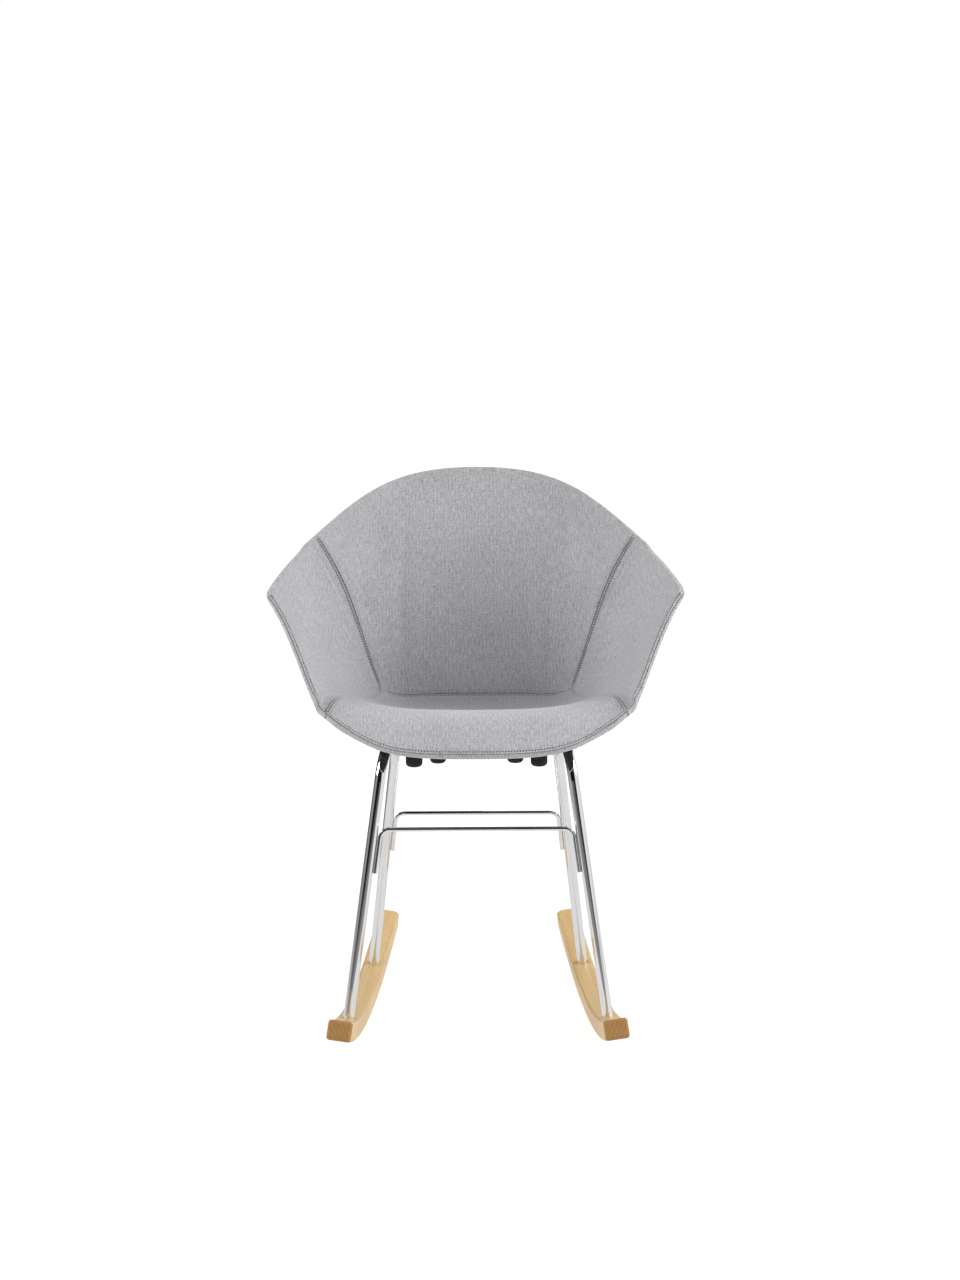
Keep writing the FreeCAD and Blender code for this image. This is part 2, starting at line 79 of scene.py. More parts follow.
# %% Links and sums
class Link:
    """One output of a node tree. Sums of Links add Math nodes, and node() adds any other node."""

    def __init__(self, tree, socket=None):
        self.tree = tree
        self.socket = socket

    def node(self, kind, settings=None, sockets=None, output=0):
        made = self.tree.nodes.new(kind)
        for name, value in (settings or {}).items():
            if name == "stops":
                set_stops(made.color_ramp, value)
            else:
                setattr(made, name, value)
        for key, value in (sockets or {}).items():
            if isinstance(value, Link):
                self.tree.links.new(value.socket, made.inputs[key])
            else:
                made.inputs[key].default_value = value
        return Link(self.tree, made.outputs[output] if made.outputs else None)

    def also(self, output):
        return Link(self.tree, self.socket.node.outputs[output])

    def math(self, operation, *values, clamp=False):
        sockets = dict(enumerate((self,) + values))
        return self.node("ShaderNodeMath", {"operation": operation, "use_clamp": clamp}, sockets)

    def turned(self, operation, first):
        return self.node("ShaderNodeMath", {"operation": operation}, {0: first, 1: self})

    def __add__(self, other): return self.math("ADD", other)
    def __radd__(self, other): return self.math("ADD", other)
    def __sub__(self, other): return self.math("SUBTRACT", other)
    def __rsub__(self, other): return self.turned("SUBTRACT", other)
    def __mul__(self, other): return self.math("MULTIPLY", other)
    def __rmul__(self, other): return self.math("MULTIPLY", other)
    def __truediv__(self, other): return self.math("DIVIDE", other)
    def __pow__(self, other): return self.math("POWER", other)

    def between(self, low, high):
        """0 at low and below, 1 at high and above, smooth between them."""
        return self.node("ShaderNodeMapRange", {"interpolation_type": "SMOOTHSTEP"},
                         {"Value": self, "From Min": low, "From Max": high})

    def blend(self, first, second):
        """The first colour where this is 0 and the second where it is 1."""
        return self.node("ShaderNodeMix", {"data_type": "RGBA"}, {0: self, 6: first, 7: second}, output=2)

    def vector(self, x, y, z):
        return self.node("ShaderNodeCombineXYZ", None, {0: x, 1: y, 2: z})

    def noise(self, place, scale=1.0, detail=2.0, roughness=0.5):
        return self.node("ShaderNodeTexNoise", None,
                         {"Vector": place, "Scale": scale, "Detail": detail, "Roughness": roughness})

    def bump(self, strength, distance):
        return self.node("ShaderNodeBump", None, {"Strength": strength, "Distance": distance, "Height": self})


def set_stops(ramp, stops):
    while len(ramp.elements) < len(stops):
        ramp.elements.new(1.0)
    for element, (place, colour) in zip(ramp.elements, stops):
        element.position = place
        element.color = colour


def srgb(red, green, blue):
    """A colour written as on a screen, 0 to 255, as the linear colour that shaders take."""
    shares = [value / 255 for value in (red, green, blue)]
    return tuple(s / 12.92 if s <= 0.04045 else ((s + 0.055) / 1.055) ** 2.4 for s in shares) + (1.0,)


def new_finish(name, fixed=None):
    """A material whose fixed values sit on the shader's own sockets. Gives it, its shader and a Link to build on."""
    material = bpy.data.materials.new(name)
    material.use_nodes = True
    shader = material.node_tree.nodes["Principled BSDF"]
    for key, value in (fixed or {}).items():
        shader.inputs[key].default_value = value
    return material, shader, Link(material.node_tree)


def feed(shader, name, link):
    link.tree.links.new(link.socket, shader.inputs[name])


print("links ready")

# %% [markdown]
# ## Studio
# The chair stands on a plain white sweep. The floor and the sky are shown at a strength of 1, which is white, to the
# camera and in reflections, while the lamps stay at a plain level: a soft box at each side, the right one stronger,
# and a weak one in front. The floor keeps a part of its real shading, so the faint shadow stays. The left of the
# room and the part behind the camera are dark, and that dark shows in the chrome of the front legs, as on any
# polished tube in a photo studio.

# %% Sky
SKY_LIGHT = 0.32
DARK_ROOM = 0.01
LIT_WALLS = 0.85


def dark_sector(x, y):
    """1 towards the dark part of the room: all of the left, and behind the camera to a little right of it."""
    turn = x.math("ARCTAN2", y * -1.0)
    grey_panel = turn.between(-2.1, -1.5) * (1 - turn.between(-1.15, -0.75))
    return (1 - turn.between(0.52, 0.66)) * (1 - grey_panel * 0.36)


scene.view_settings.view_transform = "Standard"
world = bpy.data.worlds.new("studio")
scene.world = world
world.use_nodes = True
sky = Link(world.node_tree)
path = sky.node("ShaderNodeLightPath")
shown = path.also("Is Camera Ray") + path.also("Is Transmission Ray")
mirrored = path.also("Is Glossy Ray")
heading = sky.node("ShaderNodeTexCoord", output="Generated")
heading = sky.node("ShaderNodeSeparateXYZ", None, {0: heading})
dark = dark_sector(heading.also("X"), heading.also("Y")) * (1 - heading.also("Z").between(0.80, 0.92))
walls = mirrored * (1 - dark * (1 - DARK_ROOM)) * LIT_WALLS
level = shown + walls + (1 - shown - mirrored).math("MAXIMUM", 0.0) * SKY_LIGHT
background = world.node_tree.nodes["Background"]
world.node_tree.links.new(sky.vector(level, level, level).socket, background.inputs["Color"])
background.inputs["Strength"].default_value = 1.0
print("sky light", SKY_LIGHT)

# %% Floor
FLOOR_HALF = 20.0
FLOOR_SHOWN, FLOOR_SHADE = 0.86, 0.24
FLOOR_MIRRORED = 0.58
SWEEP_REACH = 0.75

floor_mesh = bpy.data.meshes.new("floor")
corners = [(-FLOOR_HALF, -FLOOR_HALF, 0), (FLOOR_HALF, -FLOOR_HALF, 0),
           (FLOOR_HALF, FLOOR_HALF, 0), (-FLOOR_HALF, FLOOR_HALF, 0)]
floor_mesh.from_pydata(corners, [], [(0, 1, 2, 3)])
floor = bpy.data.objects.new("floor", floor_mesh)
scene.collection.objects.link(floor)
white, white_shader, base = new_finish("white_floor", {"Base Color": (0.9, 0.9, 0.9, 1), "Roughness": 0.9})
path = base.node("ShaderNodeLightPath")
mirrored = path.also("Is Glossy Ray")
straight = path.also("Is Camera Ray") + path.also("Is Transmission Ray")
place = base.node("ShaderNodeTexCoord", output="Object")
place = base.node("ShaderNodeSeparateXYZ", None, {0: place})
reach = (place.also("X") ** 2.0 + place.also("Y") ** 2.0).math("SQRT")
dark = dark_sector(place.also("X"), place.also("Y")) * reach.between(SWEEP_REACH, SWEEP_REACH + 0.4)
level = straight * (FLOOR_SHOWN + reach.between(0.7, 1.6) * (1 - FLOOR_SHOWN))
level = level + mirrored * (1 - dark * (1 - DARK_ROOM)) * FLOOR_MIRRORED
glow = base.node("ShaderNodeEmission", None, {"Color": base.vector(level, level, level), "Strength": 1.0})
shade = base.node("ShaderNodeBsdfDiffuse", None, {"Color": (FLOOR_SHADE, FLOOR_SHADE, FLOOR_SHADE, 1)})
lit = base.node("ShaderNodeAddShader", None, {0: glow, 1: shade})
plain = Link(white.node_tree, white_shader.outputs[0])
mixed = base.node("ShaderNodeMixShader", None, {0: (straight + mirrored).math("MINIMUM", 1.0), 1: plain, 2: lit})
white.node_tree.links.new(mixed.socket, white.node_tree.nodes["Material Output"].inputs["Surface"])
floor_mesh.materials.append(white)
print("floor", 2 * FLOOR_HALF, "m wide")


# %% Lamps
def soft_lamp(name, place, width, watts):
    """A square soft box that looks at the middle of the chair."""
    data = bpy.data.lights.new(name, "AREA")
    data.shape = "SQUARE"
    data.size = width
    data.energy = watts
    lamp = bpy.data.objects.new(name, data)
    scene.collection.objects.link(lamp)
    lamp.location = place
    towards = Vector((0, 0, 0.5)) - Vector(place)
    lamp.rotation_euler = towards.to_track_quat("-Z", "Y").to_euler()
    lamp.visible_camera = False
    return lamp


soft_lamp("right_lamp", (3.1, -0.35, 2.2), 1.8, 102)
soft_lamp("left_lamp", (-3.1, -0.35, 2.2), 1.8, 82)
front_lamp = soft_lamp("front_lamp", (0.4, -3.6, 1.3), 1.6, 19)
front_lamp.visible_glossy = False
print("three soft lamps")

# %% [markdown]
# ## Grey cloth
# The cover is a tight plain weave of grey mixed yarn. Up close it is a grid of threads, and further away fine upright
# streaks, because the yarn's tone changes slowly along each warp thread. The maps are laid out in millimetres of
# cloth, kept on the mesh as the attribute "weave", so the threads follow each panel. Its third value is painted shade
# at the seams and along the rim. A picture would do as well, but noises stretched along the thread need none.

# %% Cloth finish
THREAD = 1.3
CLOTH_DARK = srgb(142, 142, 145)
CLOTH_LIGHT = srgb(208, 208, 210)
# Colour of the painted shade at seams, stitch furrows and along the rim.
CLOTH_IN_PAINTED_SHADE = srgb(74, 74, 76)


def cloth_finish(name):
    material, shader, base = new_finish(name, {"Sheen Weight": 0.35, "Sheen Roughness": 0.45,
                                               "Specular IOR Level": 0.25})
    weave = base.node("ShaderNodeAttribute", {"attribute_name": "weave"}, output="Vector")
    parts = base.node("ShaderNodeSeparateXYZ", None, {0: weave})
    across, along, painted_shade = parts.also("X"), parts.also("Y"), parts.also("Z")
    streak = base.noise(base.vector(across / 1.7, along / 12, 0.0), detail=3.0, roughness=0.65)
    weft = base.noise(base.vector(across / 10, along / 1.8, 4.0), detail=2.0)
    fleck = base.noise(base.vector(across / 1.7, along / 2.2, 9.0), detail=3.0, roughness=0.75)
    patch = base.noise(base.vector(across / 90, along / 90, 2.0), detail=1.0)
    pin = (across * (2 * math.pi / 5.6) + (streak - 0.5) * 3.0).math("SINE")
    warp_wave = (across * (2 * math.pi / THREAD)).math("SINE")
    weft_wave = (along * (2 * math.pi / THREAD)).math("SINE")
    threads = warp_wave * weft_wave
    tone = (streak - 0.5) * 1.7 + (weft - 0.5) * 0.6 + (fleck - 0.5) * 2.2 + (patch - 0.5) * 0.25 + pin * 0.05 + 0.5
    tone = (tone + threads * 0.06).math("MAXIMUM", 0.0, clamp=True)
    # Painted shade: the cloth darkens towards the shade colour by the attribute's third value.
    feed(shader, "Base Color", (painted_shade * 0.75).blend(tone.blend(CLOTH_DARK, CLOTH_LIGHT), CLOTH_IN_PAINTED_SHADE))
    feed(shader, "Roughness", 0.86 + fleck * 0.12)
    height = threads * 0.5 + fleck * 0.6 + streak * 0.4
    feed(shader, "Normal", height.bump(0.35, 0.0004))
    return material


inner_cloth = cloth_finish("inner_cloth")
outer_cloth = cloth_finish("outer_cloth")
print("cloth finishes:", inner_cloth.name, outer_cloth.name)

# %% [markdown]
# ## Black lining, partly painted shade
# The bends at the tops of the front legs mirror a nearly black underside, so the seat's underside has a black lining
# instead of the grey cloth, as many upholstered seats do. Its near-black is partly the lining's own colour and partly
# painted shade, for the deep shade under the seat. It is a felt of short fibres that lie in all directions.

# %% Lining finish
lining, lining_shader, base = new_finish("black_lining_and_painted_shade", {"Specular IOR Level": 0.2, "Sheen Weight": 0.1})
weave = base.node("ShaderNodeAttribute", {"attribute_name": "weave"}, output="Vector")
fibre = base.noise(weave, scale=1.1, detail=4.0, roughness=0.75)
cloud = base.noise(weave, scale=0.04, detail=2.0)
# The near-black is partly the lining's own colour and partly painted shade under the seat.
feed(lining_shader, "Base Color", (fibre * 0.7 + cloud * 0.3).blend(srgb(22, 22, 23), srgb(58, 58, 59)))
feed(lining_shader, "Roughness", 0.85 + fibre * 0.1)
feed(lining_shader, "Normal", fibre.bump(0.4, 0.0004))
print("lining finish:", lining.name)

# %% [markdown]
# ## Sewing thread
# The seams are topstitched in a matching grey. A polyester thread is smoother than the cloth and a little lighter,
# with a fine twist. Between two stitches the needle has left a small hole, whose shade is painted in a dark finish.

# %% Thread finishes
thread, thread_shader, base = new_finish("thread", {"Sheen Weight": 0.2})
place = base.node("ShaderNodeTexCoord", output="Object")
twist = base.noise(place, scale=1500.0, detail=1.0)
feed(thread_shader, "Base Color", twist.blend(srgb(150, 150, 153), srgb(205, 205, 207)))
feed(thread_shader, "Roughness", 0.5 + twist * 0.2)

# Painted shade of the needle holes, for the small beads sunk into the cloth between stitches.
needle_hole_shade, hole_shader, base = new_finish("needle_hole_shade", {"Roughness": 0.95})
place = base.node("ShaderNodeTexCoord", output="Object")
feed(hole_shader, "Base Color", base.noise(place, scale=900.0).blend(srgb(40, 40, 42), srgb(66, 66, 68)))
print("thread finishes:", thread.name, needle_hole_shade.name)

# %% [markdown]
# ## Padding surface
# Foam, cover and moulding all follow one surface. It is a net of poles for a cubic spline: 14 rows from the front rim
# over the seat and up the back, and 13 columns from the left arm to the right. The right half is worked out from the
# middle line, two seams and the rim, and then mirrored, so a few points decide the whole bucket.

# %% Net of poles
BUCKET_WIDTH = 0.580
RUN_HEIGHT = 0.412
MIDDLE_LINE = (
    (-0.4108, 0.0422), (-0.391, 0.0724), (-0.3376, 0.1285), (-0.2337, 0.1222),
    (-0.0606, 0.0723), (0.1118, 0.0467), (0.2292, 0.0575), (0.2532, 0.0658),
    (0.2621, 0.0931), (0.2862, 0.2034), (0.3207, 0.3586), (0.3655, 0.5052),
    (0.4103, 0.6067), (0.4259, 0.6403),
)
CREASE_ROW = 7
ROWS = len(MIDDLE_LINE)
COLUMNS = 13
MIDDLE = COLUMNS // 2
SEAT_STEPS = (0.0, 0.06, 0.14, 0.32, 0.57, 0.81, 0.95, 1.0)
BACK_STEPS = (0.0, 0.05, 0.27, 0.51, 0.75, 0.93, 1.0)
RIM_FRONT_STEPS = (0.0, 0.08, 0.18, 0.36, 0.56, 0.75, 0.89, 1.0)
RIM_TOP_STEPS = (0.0, 0.15, 0.34, 0.55, 0.76, 0.92, 1.0)
SEAT_SWEEP, FRONT_SWEEP, BACK_SWEEP, BOWL = 4.25, 4.69, 3.0, 0.35
SEAM_SHIFT = 0.133
FAIRING_PASSES = 8


def on_bucket(x, y, z):
    return np.array((x, y, z)) * BUCKET_WIDTH + (0, 0, RUN_HEIGHT)


SEAT_CORNER = on_bucket(0.2197, 0.2507, 0.0575)
FRONT_CORNER = on_bucket(0.3727, -0.3112, 0.1624)
ARM_TIP = on_bucket(0.5044, -0.08, 0.3839)
SHOULDER = on_bucket(0.4296, 0.1578, 0.4613)
ARM_FRONT_LOW = on_bucket(0.3956, -0.2725, 0.1757)
ARM_FRONT_HIGH = on_bucket(0.4382, -0.1545, 0.3198)
ARM_TOP_TURN = on_bucket(0.4768, 0.0448, 0.4204)
SEAT_SEAM_END = on_bucket(0.3683, -0.3285, 0.1399)
SEAT_SEAM_CROWN = on_bucket(0.3137, -0.1839, 0.2039)
SEAT_SEAM_DIP = on_bucket(0.2895, 0.0332, 0.0521)
BACK_SEAM_LOW = on_bucket(0.2909, 0.2306, 0.1985)
BACK_SEAM_HIGH = on_bucket(0.3021, 0.209, 0.3773)
BACK_SEAM_END = on_bucket(0.4177, 0.1821, 0.4764)


def bezier(points, share):
    points = list(points)
    while len(points) > 1:
        points = [a + (b - a) * share for a, b in zip(points, points[1:])]
    return points[0]


def half_row(row):
    """Poles of one row from the middle line to the right-hand rim."""
    if row <= CREASE_ROW:
        seam = bezier((SEAT_SEAM_END, SEAT_SEAM_CROWN, SEAT_SEAM_DIP, SEAT_CORNER), SEAT_STEPS[row])
        rim = bezier((FRONT_CORNER, ARM_FRONT_LOW, ARM_FRONT_HIGH, ARM_TIP), RIM_FRONT_STEPS[row])
        power = FRONT_SWEEP if row < 2 else SEAT_SWEEP
    else:
        seam = bezier((SEAT_CORNER, BACK_SEAM_LOW, BACK_SEAM_HIGH, BACK_SEAM_END), BACK_STEPS[row - CREASE_ROW])
        rim = bezier((ARM_TIP, ARM_TOP_TURN, SHOULDER), RIM_TOP_STEPS[row - CREASE_ROW])
        power = BACK_SWEEP
    middle = on_bucket(0, *MIDDLE_LINE[row])
    poles = []
    for part in np.arange(4) / 3:
        poles.append(middle + (seam - middle) * (part, part ** power, part ** power))
    for part in np.arange(1, 4) / 3:
        poles.append(seam + (rim - seam) * (part ** (1 / (1 + BOWL)), part, part ** (1 + BOWL)))
    return poles


half = np.array([half_row(row) for row in range(ROWS)])
for _ in range(FAIRING_PASSES):
    arm = half[:, 4:6].copy()
    half[1:-1, 4:6] = (arm[:-2] + 2 * arm[1:-1] + arm[2:]) / 4
net = np.concatenate([half[:, :0:-1] * (-1, 1, 1), half], axis=1)
print("net", net.shape)

# %% [markdown]
# The layers under the cover lie along the net's normals. The foam is thickest in the middle of a panel and runs out
# to almost nothing at the rim, where cover and moulding meet.

# %% Layers and points on the surface
COVER, SEAT_FOAM, BACK_FOAM, ARM_FOAM, RIM_FOAM = 1.5 * MM, 34 * MM, 22 * MM, 14 * MM, 1 * MM
SHELL, LAYER_GAP = 4 * MM, 0.3 * MM
RING_FILL = (0.0, 0.5, 0.85, 1.0)


def unit(vectors):
    return vectors / np.linalg.norm(vectors, axis=-1, keepdims=True)


inner_rows = np.clip(np.arange(ROWS), 1, ROWS - 2)[:, None]
inner_columns = np.clip(np.arange(COLUMNS), 1, COLUMNS - 2)[None, :]
pole_normals = unit(np.cross(net[inner_rows, inner_columns + 1] - net[inner_rows, inner_columns - 1],
                             net[inner_rows + 1, inner_columns] - net[inner_rows - 1, inner_columns]))


def foam_depth(row, column):
    side = abs(column - MIDDLE)
    middle_depth = SEAT_FOAM if row < CREASE_ROW else BACK_FOAM
    full = middle_depth if side < 3 else (middle_depth + ARM_FOAM) / 2 if side == 3 else ARM_FOAM
    fill = RING_FILL[min(row, ROWS - 1 - row, 3)] * RING_FILL[min(MIDDLE - side, 3)]
    return RIM_FOAM + (full - RIM_FOAM) * fill


foam = np.array([[foam_depth(row, column) for column in range(COLUMNS)] for row in range(ROWS)])


def layer(fixed_depth, foam_share):
    return net - pole_normals * (fixed_depth + foam_share * foam)[..., None]


def spline_weights(count, places):
    """Weights of a cubic spline's poles, one row for each place along it."""
    knots = np.concatenate([[0] * 3, np.arange(count - 2), [count - 3] * 3]).astype(float)
    places = np.clip(places, 0, count - 3 - 1e-9)[:, None]
    weights = ((knots[:-1] <= places) & (places < knots[1:])).astype(float)
    for degree in (1, 2, 3):
        low, high = knots[:-degree - 1], knots[degree:-1]
        next_low, next_high = knots[1:-degree], knots[degree + 1:]
        rise = np.divide(places - low, high - low, out=np.zeros_like(places - low), where=high > low)
        fall = np.divide(next_high - places, next_high - next_low, out=np.zeros_like(places - low),
                         where=next_high > next_low)
        weights = rise * weights[:, :-1] + fall * weights[:, 1:]
    return weights


def on_layer(poles, u, v):
    """Points of a layer at row places u and column places v."""
    u, v = np.broadcast_arrays(np.asarray(u, float), np.asarray(v, float))
    rows = spline_weights(ROWS, u.ravel())
    columns = spline_weights(COLUMNS, v.ravel())
    return np.einsum("nr,nc,rck->nk", rows, columns, poles, optimize=True).reshape(*u.shape, 3)


def pole_place(index, count):
    return np.clip(np.arange(index - 2, index + 1), 0, count - 3).mean()


ROW_END, COLUMN_END = ROWS - 3, COLUMNS - 3
CREASE = pole_place(CREASE_ROW, ROWS)
LEFT_SEAM = pole_place(MIDDLE - 3, COLUMNS) - SEAM_SHIFT
RIGHT_SEAM = pole_place(MIDDLE + 3, COLUMNS) + SEAM_SHIFT
face = layer(0, 0)
pad_base = layer(COVER, 1)
cover_under = layer(COVER + 3 * LAYER_GAP + SHELL, 1)
cover_over = layer(2 * COVER + 3 * LAYER_GAP + SHELL, 1)
print("crease at", CREASE, "seams at", LEFT_SEAM, RIGHT_SEAM)

# %% [markdown]
# ## Rim
# Round the edge of the bucket the cloth is drawn over the moulding's edge. On the front and the arms the outer cloth
# comes round the edge onto the face and is sewn to the inner cover there. From the arm tips on, which lie on the
# crease's row, the seam goes over the edge, and along the top the inner cover itself rolls over to the outside. So
# the rim gets one rounded section, swept along its line, and a place on that section where the two cloths meet.

# %% Line of the rim
RIM_STEP = 3.0 * MM
RIM_BAND = 8.0 * MM
RIM_DEPTH = 2 * COVER + 3 * LAYER_GAP + SHELL + RIM_FOAM
EVEN_PASSES, HEADING_PASSES, ROUND_PASSES = 6, 12, 32


def steps_along(points):
    lengths = np.linalg.norm(np.diff(points, axis=0), axis=1)
    return np.concatenate([[0], np.cumsum(lengths)])


def smooth_step(low, high, values):
    share = np.clip((np.asarray(values, float) - low) / (high - low), 0, 1)
    return share * share * (3 - 2 * share)


def evened(values, passes):
    """Values round a closed line, each drawn towards its neighbours."""
    for _ in range(passes):
        values = (np.roll(values, 1, axis=0) + 2 * values + np.roll(values, -1, axis=0)) / 4
    return values


def rim_line():
    """Places round the rim at even steps: front, right arm, top and left arm."""
    fine = np.linspace(0, 1, 600, endpoint=False)
    u = np.concatenate([0 * fine, ROW_END * fine, 0 * fine + ROW_END, ROW_END * (1 - fine)])
    v = np.concatenate([COLUMN_END * fine, 0 * fine + COLUMN_END, COLUMN_END * (1 - fine), 0 * fine])
    points = on_layer(face, u, v)
    reach = steps_along(np.concatenate([points, points[:1]]))
    count = round(reach[-1] / RIM_STEP)
    wanted = reach[-1] * np.arange(count) / count
    u, v = (np.interp(wanted, reach, np.append(places, places[0])) for places in (u, v))
    return u, v


rim_u, rim_v = rim_line()
rim_points = on_layer(face, rim_u, rim_v)
rim_normals = unit(evened(unit(on_layer(pole_normals, rim_u, rim_v)), EVEN_PASSES))
rim_heading = unit(evened(np.roll(rim_points, -1, axis=0) - np.roll(rim_points, 1, axis=0), HEADING_PASSES))
rim_outward = unit(np.cross(rim_heading, rim_normals))
print("rim", len(rim_u), "points,", round(steps_along(rim_points)[-1], 3), "m round")

# %% Section of the rim
TREE_STEPS = 150


def grid_quads(rows, columns):
    """Corners of the quads between a grid's points."""
    index = np.arange(rows * columns).reshape(rows, columns)
    return np.stack([index[:-1, :-1], index[:-1, 1:], index[1:, 1:], index[1:, :-1]], axis=-1).reshape(-1, 4)


def surface_tree(poles):
    """A quick way to find the nearest point of a layer."""
    places = [np.linspace(0, end, TREE_STEPS) for end in (ROW_END, COLUMN_END)]
    u, v = np.meshgrid(*places, indexing="ij")
    points = on_layer(poles, u, v).reshape(-1, 3)
    return BVHTree.FromPolygons(points.tolist(), grid_quads(TREE_STEPS, TREE_STEPS).tolist())


def nearest_on(tree, points):
    return np.array([tree.find_nearest(Vector(point))[0] for point in points])


RIM_PROUD = 0.6 * MM
RIM_ROLL, TOP_ROLL, LEAST_ROLL = 2.2 * MM, 1.2 * MM, 0.6 * MM
RIM_BEHIND = 9.0 * MM
FULLER, FULLER_PLACE, FULLER_WIDTH = 3.2 * MM, 48 * MM, 20 * MM
SECTION_STEPS = 61
face_tree, outside_tree = surface_tree(face), surface_tree(cover_over)
on_front, on_top = rim_u < 1e-6, rim_u > ROW_END - 1e-6
over_edge = np.where(on_front, 0.0, np.where(on_top, 1.0, smooth_step(CREASE - 0.55, CREASE + 0.35, rim_u)))
over_edge = evened(over_edge[:, None], EVEN_PASSES)[:, 0]
corner_reach = np.minimum.reduce([np.linalg.norm(rim_points - on_layer(face, 0.0, end), axis=1)
                                  for end in (0.0, COLUMN_END)])
fuller = FULLER * np.exp(-((corner_reach - FULLER_PLACE) / FULLER_WIDTH) ** 2) * on_front
rounded = ((evened(rim_points, ROUND_PASSES) - rim_points) * rim_outward).sum(axis=1)
rim_roll = np.maximum(RIM_ROLL + (TOP_ROLL - RIM_ROLL) * over_edge + fuller + rounded, LEAST_ROLL)
rim_behind = rim_points - rim_normals * RIM_DEPTH
section = [nearest_on(face_tree, rim_points - rim_outward * RIM_BAND * share) for share in (1.0, 0.5)]
section[1] = section[1] + rim_normals * RIM_PROUD * 0.7
for angle in np.radians(np.arange(0, 181, 15)):
    lift = math.cos(angle) * (RIM_DEPTH / 2 + RIM_PROUD) - RIM_DEPTH / 2
    section.append(rim_points + rim_normals * lift + rim_outward * (rim_roll * math.sin(angle))[:, None])
for share in (0.5, 1.0):
    behind = nearest_on(outside_tree, rim_behind - rim_outward * RIM_BEHIND * share)
    section.append(behind - rim_normals * 0.5 * MM)
section = np.stack(section, axis=1)
lengths = np.linalg.norm(np.diff(section, axis=1), axis=2).mean(axis=0)
section_reach = np.concatenate([[0], np.cumsum(lengths)])
shares = np.linspace(0, section_reach[-1], SECTION_STEPS)
low = np.clip(np.searchsorted(section_reach, shares) - 1, 0, section.shape[1] - 2)
part = ((shares - section_reach[low]) / lengths[low])[None, :, None]
rim_section = section[:, low] * (1 - part) + section[:, low + 1] * part
rim_section_normals = unit(np.cross(np.gradient(rim_section, axis=1), rim_heading[:, None]))

SEAM_FRONT, SEAM_CORNER, SEAM_ARM, SEAM_TOP = -1.5 * MM, 4.5 * MM, 5.4 * MM, 13.5 * MM
aside = np.abs(2 * rim_v / COLUMN_END - 1)
seam_past = np.where(on_front, SEAM_FRONT + (SEAM_CORNER - SEAM_FRONT) * aside ** 1.8,
                     SEAM_CORNER + (SEAM_ARM - SEAM_CORNER) * smooth_step(0, 1.2, rim_u))
seam_past = evened((seam_past + (SEAM_TOP - seam_past) * over_edge)[:, None], EVEN_PASSES)[:, 0]
rim_seam = (RIM_BAND + seam_past) / section_reach[-1]


def on_section(table, stations, shares):
    """Rows of a table over the rim's section, at one share of the section for each station and step."""
    place = np.clip(shares, 0, 1) * (SECTION_STEPS - 1)
    low = np.minimum(np.floor(place).astype(int), SECTION_STEPS - 2)
    part = (place - low)[..., None]
    rows = np.asarray(stations)[:, None]
    return table[rows, low] * (1 - part) + table[rows, low + 1] * part


print("section", round(section_reach[-1] / MM, 1), "mm from the face round to the outside")

# %% [markdown]
# ## Meshes from grids
# Each sewn panel is a grid of points on the surface, closer together near its edges, where the cloth turns down into
# the seam. A grid keeps the weave straight and the seams sharp, which a remesh would lose.

# %% Panels and grid lines
SEAM_HALF_GAP = 0.15 * MM
EDGE_LINES = np.array((0.0, 0.7, 1.8, 3.0, 3.8, 4.6, 7.0, 11.5)) * MM
GRID_STEP = 6.0 * MM
JUST_INSIDE, LEAST_PACE = 0.02, 0.02

PANELS = {
    "seat": {"rows": (0, CREASE), "columns": (LEFT_SEAM, RIGHT_SEAM), "rims": ("low_row",)},
    "back": {"rows": (CREASE, ROW_END), "columns": (LEFT_SEAM, RIGHT_SEAM), "rims": ("high_row",)},
    "left_arm": {"rows": (0, ROW_END), "columns": (0, LEFT_SEAM), "rims": ("low_row", "high_row", "low_column")},
    "right_arm": {"rows": (0, ROW_END), "columns": (RIGHT_SEAM, COLUMN_END),
                  "rims": ("low_row", "high_row", "high_column")},
}


def grid_lines(points, low, high):
    """Places from low to high whose spacing is that of EDGE_LINES at the ends and GRID_STEP between."""
    reach = steps_along(points)
    inside = reach[-1] - 2 * EDGE_LINES[-1]
    count = max(2, round(inside / GRID_STEP))
    middle = EDGE_LINES[-1] + inside * np.arange(1, count) / count
    wanted = np.concatenate([EDGE_LINES, middle, reach[-1] - EDGE_LINES[::-1]])
    return np.interp(wanted, reach, np.linspace(low, high, len(points)))


def pace(u, v, along_rows):
    """Metres of face per unit of place, from row to row or from column to column."""
    step = 1e-3
    shift = (step, 0) if along_rows else (0, step)
    change = on_layer(face, u + shift[0], v + shift[1]) - on_layer(face, u - shift[0], v - shift[1])
    return np.linalg.norm(change, axis=-1) / (2 * step)


